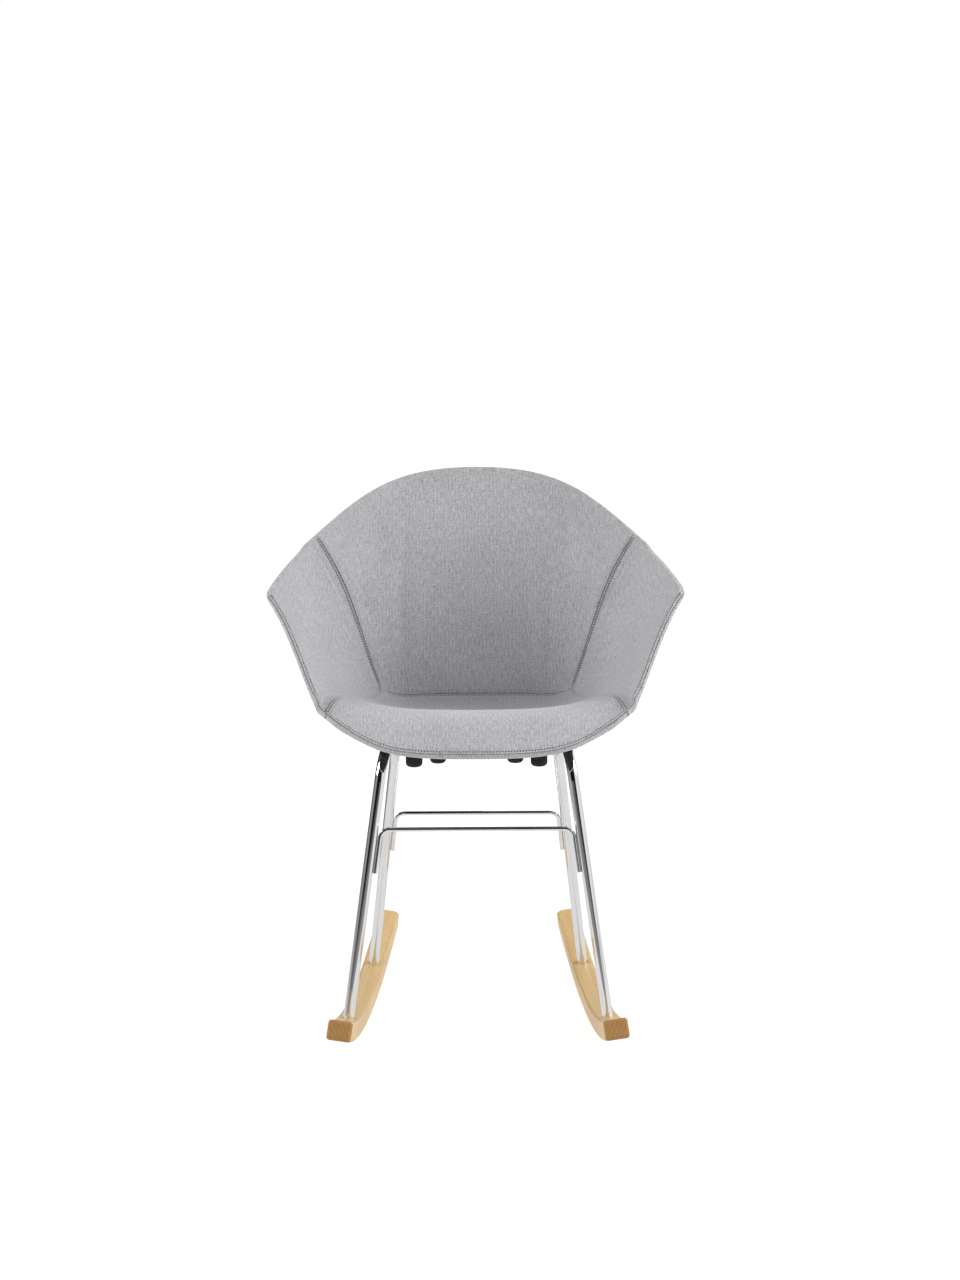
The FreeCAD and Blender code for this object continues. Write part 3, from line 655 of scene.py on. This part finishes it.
def panel_places(name, band):
    """Row and column places of a panel's grid. Its rim edges stop short by the width of the band."""
    panel = PANELS[name]
    (u_low, u_high), (v_low, v_high) = panel["rows"], panel["columns"]
    fine = np.linspace(0, 1, 400)
    middle_u, middle_v = (u_low + u_high) / 2, (v_low + v_high) / 2
    u = grid_lines(on_layer(face, u_low + (u_high - u_low) * fine, middle_v), u_low, u_high)
    v = grid_lines(on_layer(face, middle_u, v_low + (v_high - v_low) * fine), v_low, v_high)
    u, v = np.meshgrid(u, v, indexing="ij")
    u_share, v_share = (u - u_low) / (u_high - u_low), (v - v_low) / (v_high - v_low)
    inset = {}
    edges = (("low_row", u_low + JUST_INSIDE, v, True), ("high_row", u_high - JUST_INSIDE, v, True),
             ("low_column", u, v_low + JUST_INSIDE, False), ("high_column", u, v_high - JUST_INSIDE, False))
    for edge, at_u, at_v, along_rows in edges:
        width = band if edge in panel["rims"] else SEAM_HALF_GAP
        inset[edge] = width / np.maximum(pace(*np.broadcast_arrays(at_u, at_v), along_rows), LEAST_PACE)
    u = u + inset["low_row"] * (1 - u_share) - inset["high_row"] * u_share
    v = v + inset["low_column"] * (1 - v_share) - inset["high_column"] * v_share
    return u, v


def edge_distances(points):
    """Distance along the cloth from each of a grid's four edges."""
    rows = np.linalg.norm(np.diff(points, axis=0), axis=2)
    columns = np.linalg.norm(np.diff(points, axis=1), axis=2)
    from_low_row = np.concatenate([np.zeros((1, points.shape[1])), np.cumsum(rows, axis=0)])
    from_low_column = np.concatenate([np.zeros((points.shape[0], 1)), np.cumsum(columns, axis=1)], axis=1)
    return {"low_row": from_low_row, "high_row": from_low_row[-1:] - from_low_row,
            "low_column": from_low_column, "high_column": from_low_column[:, -1:] - from_low_column}


def cloth_map(points, painted_shade):
    """Millimetres across and along the cloth from the middle of a panel, and the painted shade at each point."""
    distances = edge_distances(points)
    along, across = distances["low_row"], distances["low_column"]
    along = along - along[along.shape[0] // 2]
    across = across - across[:, across.shape[1] // 2, None]
    return np.stack([across / MM, along / MM, np.broadcast_to(painted_shade, along.shape)], axis=-1)


for name in PANELS:
    print(name, "grid", panel_places(name, RIM_BAND)[0].shape)

# %% Closed grids
OUTWARD_ON_MAP = {"low_row": (0, -1, 0), "high_row": (0, 1, 0), "low_column": (-1, 0, 0), "high_column": (1, 0, 0)}


def ring_of(rows, columns):
    """Places of a grid's edge points, once round, and the edges that each lies on."""
    index = np.arange(rows * columns).reshape(rows, columns)
    ring = np.concatenate([index[0, :-1], index[:-1, -1], index[-1, :0:-1], index[:0:-1, 0]])
    row, column = np.divmod(ring, columns)
    edges = {"low_row": row == 0, "high_row": row == rows - 1, "low_column": column == 0,
             "high_column": column == columns - 1}
    return ring, edges


def closed_grid(name, front, back, weave, finish, turned=()):
    """A closed mesh with one grid as its front, another as its back and walls round the edge between them.

    The walls may follow loops of points, each with the painted shade of its points, on their way from front to back."""
    rows, columns = front.shape[:2]
    count = rows * columns
    quads = grid_quads(rows, columns)
    ring, edges = ring_of(rows, columns)
    loops = [ring]
    points, maps = [front.reshape(-1, 3), back.reshape(-1, 3)], [weave.reshape(-1, 3)] * 2
    outward = sum(on_edge[:, None] * np.array(OUTWARD_ON_MAP[edge]) for edge, on_edge in edges.items())
    walked, last = np.zeros(len(ring)), front.reshape(-1, 3)[ring]
    for loop, loop_painted_shade in turned:
        loops.append(2 * count + len(ring) * (len(loops) - 1) + np.arange(len(ring)))
        walked, last = walked + np.linalg.norm(loop - last, axis=1), loop
        points.append(loop)
        maps.append(weave.reshape(-1, 3)[ring] * (1, 1, 0) + outward * walked[:, None] / MM
                    + loop_painted_shade[:, None] * (0, 0, 1))
    loops.append(ring + count)
    walls = [np.stack([np.roll(a, -1), a, b, np.roll(b, -1)], axis=-1) for a, b in zip(loops, loops[1:])]
    mesh = bpy.data.meshes.new(name)
    mesh.from_pydata(np.concatenate(points).tolist(), [],
                     np.concatenate([quads, quads[:, ::-1] + count] + walls).tolist())
    mesh.polygons.foreach_set("use_smooth", np.ones(len(mesh.polygons), bool))
    attribute = mesh.attributes.new("weave", "FLOAT_VECTOR", "POINT")
    attribute.data.foreach_set("vector", np.concatenate(maps).astype(np.float32).ravel())
    mesh.materials.append(finish)
    piece = bpy.data.objects.new(name, mesh)
    scene.collection.objects.link(piece)
    return piece


print("closed grids ready")

# %% [markdown]
# ## Pads
# Each pad is one sewn panel over its foam: seat, back and two arms. At a seam the cloth is drawn down, and beside it
# the topstitching draws a second, shallower furrow; both are also darkened with painted shade. Then a cloth simulation
# blows the front of each panel up from behind as one sheet, held along its seams, so that it fills out as stretched
# cloth over foam does. The pads start a few millimetres small, and the swelling is limited softly, because they are
# thin and firm.

# %% Pads before they are filled
SEAM_ROW, RIM_ROW = 3.8 * MM, 5.0 * MM
SEAM_DIPS = np.array((1.2, -0.4, -1.0, -0.6, 0.3, -0.2, -0.1, 0.0)) * MM
FLANGE_LINES = np.array((0.0, 2.0, 5.0, 9.0, 14.0, 20.0, 28.0, 36.0)) * MM
FLANGE_DIPS = np.array((1.7, 1.6, 1.35, 1.0, 0.6, 0.3, 0.08, 0.0)) * MM
FLAP_LINES = np.array((0.0, 0.8, 2.2, 3.8, 5.0, 6.2, 8.0)) * MM
FLAP_RISES = np.array((-0.6, 0.1, 0.6, 0.1, -0.7, -0.2, 0.0)) * MM
# Widths and strengths of the painted shade in a seam and in its stitch furrow: on the arms, elsewhere and on the rim
# flap.
SEAM_SHADE_WIDTH, FURROW_SHADE_WIDTH = 0.8 * MM, 0.8 * MM
ARM_SHADE, PLAIN_SHADE, FLAP_SHADE = 0.6, 0.2, 0.75
COVERED_SEAM = 0.25
PAD_SHRINK, SHRINK_REACH = 2.0 * MM, 25 * MM
FLAP_STEPS = 10
CLOTH = 1.2 * MM
SEAM_SAMPLES = 200
seam_rise = on_layer(face, np.linspace(0, CREASE, SEAM_SAMPLES), LEFT_SEAM)[:, 2]
SEAM_CREST = CREASE * seam_rise.argmax() / (SEAM_SAMPLES - 1)


def seam_painted_shade(distance, row, shade):
    """Painted shade beside a seam: darkest deep in the seam, and again in the furrow of its stitches."""
    furrow = shade * np.exp(-((distance - row) / FURROW_SHADE_WIDTH) ** 2)
    return np.maximum(np.clip(1 - distance / SEAM_SHADE_WIDTH, 0, 1), furrow)


def seams_shown(u, distances):
    """1 where a seam lies open, and less where the foam closes over it, behind the seat's crown."""
    closed = smooth_step(SEAM_CREST, SEAM_CREST + 0.8, u) * (1 - smooth_step(CREASE + 0.1, CREASE + 0.5, u))
    ends = np.minimum(distances["low_column"], distances["high_column"])
    shown = {edge: 1 - (1 - COVERED_SEAM) * closed for edge in ("low_column", "high_column")}
    opened = COVERED_SEAM + (1 - COVERED_SEAM) * smooth_step(4 * MM, 30 * MM, ends)
    shown.update({edge: opened for edge in ("low_row", "high_row")})
    return shown


def turned_edge(front, back, rims):
    """Loops of points by which a pad's edge goes round the rim, or straight down at a seam."""
    rows, columns = front.shape[:2]
    ring, edges = ring_of(rows, columns)
    top, bottom = front.reshape(-1, 3)[ring], back.reshape(-1, 3)[ring]
    station = np.array([np.linalg.norm(rim_points - point, axis=1).argmin() for point in top])
    on_rim = np.logical_or.reduce([edges[edge] for edge in rims]).astype(float)
    reach = rim_seam[station] * on_rim
    steps = np.arange(1, FLAP_STEPS + 1) / FLAP_STEPS
    to_seam = reach[:, None] * (1 - steps) * section_reach[-1]
    sewn = np.where(steps == 1, 1.0, 1 - over_edge[station][:, None])
    up = on_section(rim_section_normals, station, reach[:, None] * steps)
    out = on_section(rim_section, station, reach[:, None] * steps)
    out += (top - rim_section[station, 0])[:, None] * (1 - steps)[None, :, None]
    out += up * (np.interp(to_seam, FLAP_LINES, FLAP_RISES) * sewn)[..., None]
    # Painted shade on the flap beside the rim's seam; the inside of the roll and the walls down into a seam get full
    # painted shade.
    shaded = seam_painted_shade(to_seam, RIM_ROW, ARM_SHADE) * sewn * FLAP_SHADE
    painted_shades = np.concatenate([shaded, np.ones_like(to_seam)], axis=1)
    rolls = np.concatenate([out, (out - up * CLOTH)[:, ::-1]], axis=1)
    loops = []
    for step in range(2 * FLAP_STEPS):
        straight = top + (bottom - top) * (step + 1) / (2 * FLAP_STEPS + 1)
        loop = np.where(on_rim[:, None] > 0, rolls[:, step], straight)
        loops.append((loop, np.where(on_rim > 0, painted_shades[:, step], 1.0)))
    return loops


pads = {}
for name, panel in PANELS.items():
    u, v = panel_places(name, RIM_BAND)
    surface = on_layer(face, u, v)
    normal = unit(on_layer(pole_normals, u, v))
    distances = edge_distances(surface)
    shown = seams_shown(u, distances)
    nearest = np.minimum.reduce(list(distances.values()))
    flat = {"low_row": 1.0, "high_row": 0.0}
    flat["low_column"] = flat["high_column"] = 1 - smooth_step(CREASE - 0.9, CREASE + 0.2, u)
    dip, rise, painted_shade = np.zeros(u.shape), np.zeros(u.shape), np.zeros(u.shape)
    for edge, distance in distances.items():
        if edge in panel["rims"]:
            dip = np.maximum(dip, np.interp(distance, FLANGE_LINES, FLANGE_DIPS) * flat[edge])
        else:
            change = np.interp(distance, EDGE_LINES, SEAM_DIPS) * shown[edge]
            dip, rise = np.maximum(dip, change), np.minimum(rise, change)
            # Painted shade in the seam and in its stitch furrow, stronger on the arms.
            shade = ARM_SHADE if "arm" in name else PLAIN_SHADE
            painted_shade = np.maximum(painted_shade, seam_painted_shade(distance, SEAM_ROW, shade) * shown[edge])
    settle = PAD_SHRINK * np.clip(nearest / SHRINK_REACH, 0, 1)
    front = surface - normal * (dip + rise + settle)[..., None]
    back = on_layer(pad_base, u, v)
    pad = closed_grid(name + "_pad", front, back, cloth_map(surface, painted_shade), inner_cloth,
                      turned_edge(front, back, panel["rims"]))
    pads[name] = {"piece": pad, "front": front, "normal": normal, "nearest": nearest}
    print(pad.name, len(pad.data.vertices), "points")

# %% Fill the pads
PAD_PRESSURE = 5.0
POINT_MASS = 0.02
PAD_FRAMES = 20
PAD_SWELL, QUICK_REACH = 2.5 * MM, 30 * MM
HELD_EDGE = 4.9 * MM


def fill_front(front, nearest):
    """How far a pad's front moves when it is blown up from behind as one sheet, held along its edges."""
    mesh = bpy.data.meshes.new("filling")
    mesh.from_pydata(front.reshape(-1, 3).tolist(), [], grid_quads(*nearest.shape).tolist())
    sheet = bpy.data.objects.new("filling", mesh)
    scene.collection.objects.link(sheet)
    held = sheet.vertex_groups.new(name="held")
    held.add(np.flatnonzero(nearest.ravel() < HELD_EDGE).tolist(), 1.0, "REPLACE")
    filling = sheet.modifiers.new("filling", "CLOTH")
    settings = filling.settings
    settings.mass = POINT_MASS
    settings.use_pressure = True
    settings.uniform_pressure_force = PAD_PRESSURE
    settings.vertex_group_mass = held.name
    settings.effector_weights.gravity = 0
    filling.collision_settings.use_collision = False
    filling.point_cache.frame_start, filling.point_cache.frame_end = 1, PAD_FRAMES
    for number in range(1, PAD_FRAMES + 1):
        scene.frame_set(number)
    filled = sheet.evaluated_get(bpy.context.evaluated_depsgraph_get())
    moved = np.zeros(front.size, np.float32)
    filled.data.vertices.foreach_get("co", moved)
    bpy.data.objects.remove(sheet)
    bpy.data.meshes.remove(mesh)
    scene.frame_set(1)
    return moved.reshape(front.shape) - front


for name, pad in pads.items():
    piece = pad["piece"]
    change = fill_front(pad["front"], pad["nearest"])
    swell = np.linalg.norm(change, axis=-1, keepdims=True)
    change = change * PAD_SWELL * (1 - np.exp(-swell / PAD_SWELL)) / np.maximum(swell, 1e-9)
    print(piece.name, "swelled", round(float(swell.max()) / MM, 1), "mm before the limit")
    points = np.array([vertex.co for vertex in piece.data.vertices])
    points[:pad["nearest"].size] = (pad["front"] + change).reshape(-1, 3)
    piece.data.vertices.foreach_set("co", points.astype(np.float32).ravel())
    piece.data.update()
    smooth = piece.modifiers.new("smooth", "SUBSURF")
    smooth.levels = smooth.render_levels = 1
    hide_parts(name + "_cover", name + "_foam")
    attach(piece, "root")
    0.85 if name == "seat" else 0.75

# %% [markdown]
# ## Outer cover
# The outside of the bucket is covered in four panels: the back and the arms in the same cloth, and the underside of
# the seat in the lining. They are stretched tight over the moulding and need no filling, so two grids a cloth's
# thickness apart are enough. Along the seams the cloth turns in a little and is darkened there with painted shade. A
# band of the cloth goes round the rim.

# %% Outer covers
OUTER_TURN_IN, OUTER_REACH = 0.9 * MM, 5.0 * MM


def grid_area(points):
    """Area of a grid's quads."""
    one = np.cross(points[1:, :-1] - points[:-1, :-1], points[:-1, 1:] - points[:-1, :-1])
    other = np.cross(points[1:, :-1] - points[1:, 1:], points[:-1, 1:] - points[1:, 1:])
    return float((np.linalg.norm(one, axis=2) + np.linalg.norm(other, axis=2)).sum() / 2)


for name, panel in PANELS.items():
    u, v = panel_places(name, 0.0)
    over, under = on_layer(cover_over, u, v), on_layer(cover_under, u, v)
    turn_in = np.zeros(u.shape)
    for edge, distance in edge_distances(over).items():
        if edge not in panel["rims"]:
            turn_in = np.maximum(turn_in, OUTER_TURN_IN * np.clip(1 - distance / OUTER_REACH, 0, 1) ** 2)
    # The turn-in, as a share, is also painted shade in the cloth beside the seams.
    weave = cloth_map(over, turn_in / OUTER_TURN_IN)
    over = over + unit(under - over) * turn_in[..., None]
    cover = closed_grid(name + "_outside", under, over, weave, lining if name == "seat" else outer_cloth)
    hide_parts(name + "_outer_cover")
    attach(cover, "root")
    width = max(steps_along(row)[-1] for row in over)
    length = max(steps_along(column)[-1] for column in over.transpose(1, 0, 2))
    grid_area(over)
    print(cover.name, "cut from", round(width, 3), "by", round(length, 3), "m, area", round(grid_area(over), 4))

# %% Rim band
BAND_STEPS = 12
BAND_LIFT, SEWN_LIFT, HIDDEN_LIFT = 0.25 * MM, -0.6 * MM, -0.1 * MM
# Painted shade on the band: along its sewn edge, and across it where a seam meets the front.
SEWN_SHADE, CROSSING_SHADE = 0.45, 0.8

stations = np.arange(len(rim_u))
band_shares = rim_seam[:, None] + (1 - rim_seam)[:, None] * np.linspace(0, 1, BAND_STEPS)[None, :]
band_over = on_section(rim_section, stations, band_shares)
band_normals = on_section(rim_section_normals, stations, band_shares)
band_lift = np.full(BAND_STEPS, BAND_LIFT)
band_lift[0], band_lift[-1] = SEWN_LIFT, HIDDEN_LIFT
band_over = band_over + band_normals * band_lift[None, :, None]
band_under = band_over - band_normals * CLOTH
band_loop = np.concatenate([band_over, band_under[:, ::-1]], axis=1)
turns = band_loop.shape[1]
index = np.arange(len(stations) * turns).reshape(-1, turns)
onward = np.roll(index, -1, axis=0)
band_quads = np.stack([index, np.roll(index, -1, axis=1), np.roll(onward, -1, axis=1), onward], axis=-1)
band_mesh = bpy.data.meshes.new("rim_band")
band_mesh.from_pydata(band_loop.reshape(-1, 3).tolist(), [], band_quads.reshape(-1, 4).tolist())
band_mesh.polygons.foreach_set("use_smooth", np.ones(len(band_mesh.polygons), bool))
band_map = np.zeros((len(stations), turns, 3), np.float32)
band_map[..., 0] = stations[:, None] * RIM_STEP / MM
band_map[..., 1] = np.concatenate([band_shares, band_shares[:, ::-1]], axis=1) * section_reach[-1] / MM
band_map[:, 0, 2] = SEWN_SHADE
for seam in (LEFT_SEAM, RIGHT_SEAM):
    crossing = np.where(on_front, np.abs(rim_v - seam), np.inf).argmin()
    band_map[crossing, :, 2] = CROSSING_SHADE
band_mesh.attributes.new("weave", "FLOAT_VECTOR", "POINT").data.foreach_set("vector", band_map.ravel())
band_mesh.materials.append(outer_cloth)
band = bpy.data.objects.new("rim_band", band_mesh)
scene.collection.objects.link(band)
smooth = band.modifiers.new("smooth", "SUBSURF")
smooth.levels = smooth.render_levels = 1
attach(band, "root")
band_area = grid_area(np.concatenate([band_over, band_over[:1]]))

# %% [markdown]
# ## Topstitching
# Every seam is topstitched. A stitch is a short arc of thread that comes up out of one needle hole and goes down into
# the next. Each is a small bent capsule, set on the finished cloth along a line beside the seam. Between them, short
# dark beads sunk a little into the cloth across the row are painted shade for the needle holes.

# %% Stitch maker
STITCH_PITCH = 4.1 * MM
STITCH_LENGTH = 2.9 * MM
THREAD_RADIUS = 0.42 * MM
STITCH_RISE = 0.25 * MM
# Size of the dark beads that are painted shade for the needle holes.
HOLE_STEPS = np.array((-1.8, -1.0, 1.0, 1.8)) * MM
HOLE_RADII = np.array((0.45, 0.9, 0.9, 0.45)) * MM
HOLE_SUNK = 0.2 * MM
RING_SIDES = 6
ARC_SHARES = np.array((0.0, 0.12, 0.35, 0.65, 0.88, 1.0))
ARC_RISES = STITCH_RISE * np.array((-2.2, -0.2, 1.0, 1.0, -0.2, -2.2))
ARC_RADII = THREAD_RADIUS * np.array((0.5, 0.9, 1.0, 1.0, 0.9, 0.5))


def cloth_tree(piece):
    """Nearest points of a piece's finished mesh, its smoothing included."""
    return BVHTree.FromObject(piece, bpy.context.evaluated_depsgraph_get())


def stitch_row(name, path, trees, dents=1.0):
    """Stitches along a path, laid on the cloth, with dark dents of the full size or a part of it, painted shade for
    the needle holes.
    """
    reach = steps_along(path)
    count = int(reach[-1] / STITCH_PITCH)
    starts = (reach[-1] - count * STITCH_PITCH) / 2 + STITCH_PITCH * np.arange(count)
    points, quads, finishes = [], [], []

    def on_cloth(place):
        hits = [tree.find_nearest(Vector(place)) for tree in trees]
        hit = min(hits, key=lambda found: found[3])
        return np.array(hit[0]), np.array(hit[1])

    def laid(distance):
        return on_cloth([np.interp(distance, reach, path[:, axis]) for axis in range(3)])

    def tube(centres, heading, up, radii, finish):
        side = np.cross(heading, up)
        first = len(points)
        for centre, radius in zip(centres, radii):
            for corner in range(RING_SIDES):
                angle = 2 * math.pi * corner / RING_SIDES
                points.append(centre + radius * (math.cos(angle) * side + math.sin(angle) * up))
        for ring in range(len(centres) - 1):
            for corner in range(RING_SIDES):
                near, far = first + ring * RING_SIDES, first + (ring + 1) * RING_SIDES
                step = (corner + 1) % RING_SIDES
                quads.append((near + corner, near + step, far + step, far + corner))
                finishes.append(finish)
        for ring in (0, len(centres) - 1):
            loop = [first + ring * RING_SIDES + corner for corner in range(RING_SIDES)]
            quads.append(loop[::-1] if ring == 0 else loop)
            finishes.append(finish)

    for start in starts:
        (tail, up), (tip, _) = laid(start), laid(start + STITCH_LENGTH)
        heading = unit(tip - tail)
        up = unit(up - heading * np.dot(up, heading))
        bow = [tail + (tip - tail) * share + up * rise for share, rise in zip(ARC_SHARES, ARC_RISES)]
        tube(bow, heading, up, ARC_RADII, 0)
        hole, up = laid(start + (STITCH_PITCH + STITCH_LENGTH) / 2)
        up = unit(up - heading * np.dot(up, heading))
        across = np.cross(up, heading)
        # A dark bead across the row, sunk into the cloth: painted shade of the needle hole.
        dent = [on_cloth(hole + across * step)[0] - up * HOLE_SUNK for step in HOLE_STEPS * dents]
        tube(dent, across, up, HOLE_RADII * dents, 1)
    mesh = bpy.data.meshes.new(name)
    mesh.from_pydata([tuple(point) for point in points], [], quads)
    mesh.materials.append(thread)
    mesh.materials.append(needle_hole_shade)
    mesh.polygons.foreach_set("material_index", np.array(finishes, np.int32))
    mesh.polygons.foreach_set("use_smooth", np.ones(len(mesh.polygons), bool))
    piece = bpy.data.objects.new(name, mesh)
    scene.collection.objects.link(piece)
    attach(piece, "root")
    print(name, count, "stitches")


trees = {name: cloth_tree(pad["piece"]) for name, pad in pads.items()}
print("cloth found for", list(trees))

# %% Stitch rows
ARM_DENTS, PLAIN_DENTS = 0.75, 0.4
fine = np.linspace(0.0, 1.0, 240)
for side, seam, sign in (("left", LEFT_SEAM, -1), ("right", RIGHT_SEAM, 1)):
    for part, low, high in (("back", CREASE + 0.3, ROW_END - 0.05), ("seat", 0.05, SEAM_CREST - 0.1)):
        u = low + (high - low) * fine
        shift = SEAM_ROW / pace(u, np.full_like(u, seam), False)
        stitch_row(f"{side}_{part}_seam_arm_side", on_layer(face, u, seam + sign * shift), [trees[side + "_arm"]],
                   ARM_DENTS)
        stitch_row(f"{side}_{part}_seam_{part}_side", on_layer(face, u, seam - sign * shift), [trees[part]],
                   PLAIN_DENTS)
v = LEFT_SEAM + (RIGHT_SEAM - LEFT_SEAM) * (0.07 + 0.86 * fine)
shift = SEAM_ROW / pace(np.full_like(v, CREASE), v, True)
stitch_row("crease_seam_seat_side", on_layer(face, CREASE - shift, v), [trees["seat"]], ARM_DENTS)
stitch_row("crease_seam_back_side", on_layer(face, CREASE + shift, v), [trees["back"]], PLAIN_DENTS)
rim_row = on_section(rim_section, stations, (rim_seam - RIM_ROW / section_reach[-1])[:, None])[:, 0]
first = np.flatnonzero((over_edge > 0.5) & (rim_v < 1e-6)).max()
order = (np.arange(len(rim_u)) + first) % len(rim_u)
order = order[:np.flatnonzero((over_edge[order] > 0.5) & (np.arange(len(order)) > 20)).min()]
stitch_row("rim_stitches", rim_row[order], list(trees.values()))

# %% [markdown]
# ## Chrome
# The tubes and rods are bright chrome. It has almost no colour of its own and shows the studio: the white sweep, the
# lamps and the dark room. Real plating is never quite even, so its roughness wanders a little and a faint
# waviness of the tube bends the reflections.

# %% Chrome finish
chrome, chrome_shader, base = new_finish("chrome", {"Metallic": 1.0})
place = base.node("ShaderNodeTexCoord", output="Object")
smudge = base.noise(place, scale=38.0, detail=4.0, roughness=0.6)
haze = base.noise(place, scale=420.0, detail=2.0)
wave = base.noise(place, scale=16.0, detail=1.0)
feed(chrome_shader, "Base Color", smudge.blend((0.80, 0.81, 0.83, 1), (0.90, 0.90, 0.91, 1)))
feed(chrome_shader, "Roughness", 0.02 + smudge.between(0.5, 0.8) * 0.04 + haze * 0.015)
feed(chrome_shader, "Normal", wave.bump(0.06, 0.002))
print("chrome finish:", chrome.name)

# %% [markdown]
# ## Beech
# The runners are bent from solid beech with a clear lacquer. Beech is pale and even, with fine lines along the bend,
# many short brown flecks and darker end grain. The grain has to follow the arc, so the shader first works out where a
# point lies along the arc, across the bar and in its depth. Both runners share one finish, because the sums
# start from the distance to the middle plane.

# %% Beech finish
RUNNER_RADIUS = 1.047
RUNNER_HALF_TRACK, BALANCE_Y = 0.172, 0.0203
LEAN, TOE_IN = math.radians(7.5), math.radians(4.4)
RUNNER_WIDTH = 0.0335
back_axis = Vector((-math.sin(TOE_IN), math.cos(TOE_IN), 0))
level_axis = Vector((-math.cos(TOE_IN), -math.sin(TOE_IN), 0))
up_axis = Vector((0, 0, math.cos(LEAN))) + level_axis * math.sin(LEAN)
in_axis = level_axis * math.cos(LEAN) - Vector((0, 0, math.sin(LEAN)))
runner_origin = Vector((RUNNER_HALF_TRACK, BALANCE_Y, RUNNER_WIDTH / 2 * math.sin(LEAN)))
GRAIN_END = 0.342

beech, beech_shader, base = new_finish("beech", {"Coat Weight": 0.15, "Coat Roughness": 0.3})
place = base.node("ShaderNodeTexCoord", output="Object")
place = base.node("ShaderNodeSeparateXYZ", None, {0: place})
right_side = base.vector(place.also("X").math("ABSOLUTE"), place.also("Y"), place.also("Z"))


def measured_along(axis):
    offset = base.node("ShaderNodeVectorMath", {"operation": "SUBTRACT"}, {0: right_side, 1: runner_origin})
    return base.node("ShaderNodeVectorMath", {"operation": "DOT_PRODUCT"}, {0: offset, 1: axis}, output="Value")


reach, across, rise = measured_along(back_axis), measured_along(in_axis), measured_along(up_axis)
from_centre = RUNNER_RADIUS - rise
arc = reach.math("ARCTAN2", from_centre) * RUNNER_RADIUS
depth = RUNNER_RADIUS - (reach * reach + from_centre * from_centre).math("SQRT")
drift = base.noise(base.vector(arc * 5, across * 30, depth * 30), detail=2.0)
lines = base.noise(base.vector(arc * 7, across * 420 + drift * 5, depth * 420), detail=3.0, roughness=0.6)
fleck = base.noise(base.vector(arc * 130, across * 1500, depth * 1500), detail=1.0).between(0.60, 0.72)
broad = base.noise(base.vector(arc * 3, across * 60, depth * 60), detail=1.0)
rings = ((across * 900 + depth * 520 + drift * 9).math("SINE") * 0.5 + 0.5) ** 2.0
end_grain = arc.math("ABSOLUTE").between(GRAIN_END - 0.0016, GRAIN_END + 0.0004)
tone = (lines - 0.5) * 0.9 + (broad - 0.5) * 0.6 + 0.5
side_colour = tone.math("ADD", 0.0, clamp=True).blend(srgb(203, 164, 108), srgb(232, 203, 150))
side_colour = (fleck * 0.55).blend(side_colour, srgb(158, 115, 66))
end_colour = (rings * 0.25 + lines * 0.35 + broad * 0.4).blend(srgb(186, 142, 82), srgb(146, 102, 52))
feed(beech_shader, "Base Color", end_grain.blend(side_colour, end_colour))
feed(beech_shader, "Roughness", 0.38 + lines * 0.12 + end_grain * 0.2)
feed(beech_shader, "Normal", (lines - fleck * 0.6).bump(0.12, 0.0004))
print("beech finish")

# %% [markdown]
# ## Black plastic, black steel and small metal parts
# The caps and saddles are moulded black plastic with a fine spark-eroded texture. The cross bars are powder-coated.
# The hidden parts get plain finishes of their own, as they would have in a cut-away view.

# %% Small finishes
def grained_finish(name, dark, light, roughness, grain, depth, metallic=0.0, gloss=0.5):
    """A finish whose tone and roughness follow a fine grain."""
    material, shader, base = new_finish(name, {"Metallic": metallic, "Specular IOR Level": gloss})
    place = base.node("ShaderNodeTexCoord", output="Object")
    fine = base.noise(place, scale=grain, detail=3.0, roughness=0.6)
    broad = base.noise(place, scale=grain / 30, detail=2.0)
    feed(shader, "Base Color", (fine * 0.6 + broad * 0.4).blend(dark, light))
    feed(shader, "Roughness", roughness + (fine - 0.5) * 0.2 + (broad - 0.5) * 0.1)
    feed(shader, "Normal", fine.bump(0.3, depth))
    return material


black_plastic = grained_finish("black_plastic", srgb(36, 36, 36), srgb(60, 59, 57), 0.65, 2600.0, 0.0002, gloss=0.15)
black_steel = grained_finish("black_steel", srgb(20, 20, 21), srgb(36, 36, 38), 0.65, 1500.0, 0.0002, gloss=0.2)
zinc_steel = grained_finish("zinc_steel", srgb(160, 162, 166), srgb(205, 207, 210), 0.3, 900.0, 0.0001, metallic=1.0)
brass = grained_finish("brass", srgb(178, 142, 72), srgb(214, 178, 104), 0.3, 900.0, 0.0001, metallic=1.0)
moulded_plastic = grained_finish("moulded_plastic", srgb(88, 88, 90), srgb(112, 112, 114), 0.55, 1800.0, 0.0002)
print("small finishes done")

# %% Finishes on the rigid nodes
FINISHES = {
    "left_side_frame": chrome, "right_side_frame": chrome, "front_stretcher": chrome, "rear_stretcher": chrome,
    "left_runner": beech, "right_runner": beech,
    "front_saddles": black_plastic, "rear_saddles": black_plastic, "fixing_caps": black_plastic,
    "front_cross_bar": black_steel, "rear_cross_bar": black_steel,
    "leg_plugs": zinc_steel, "runner_bolts": zinc_steel, "fixing_studs": zinc_steel,
    "fixing_washers": zinc_steel, "fixing_nuts": zinc_steel,
    "threaded_inserts": brass, "seat_moulding": moulded_plastic,
}
for name, finish in FINISHES.items():
    for slot in nodes[name].material_slots:
        slot.material = finish
print(len(FINISHES), "nodes finished")
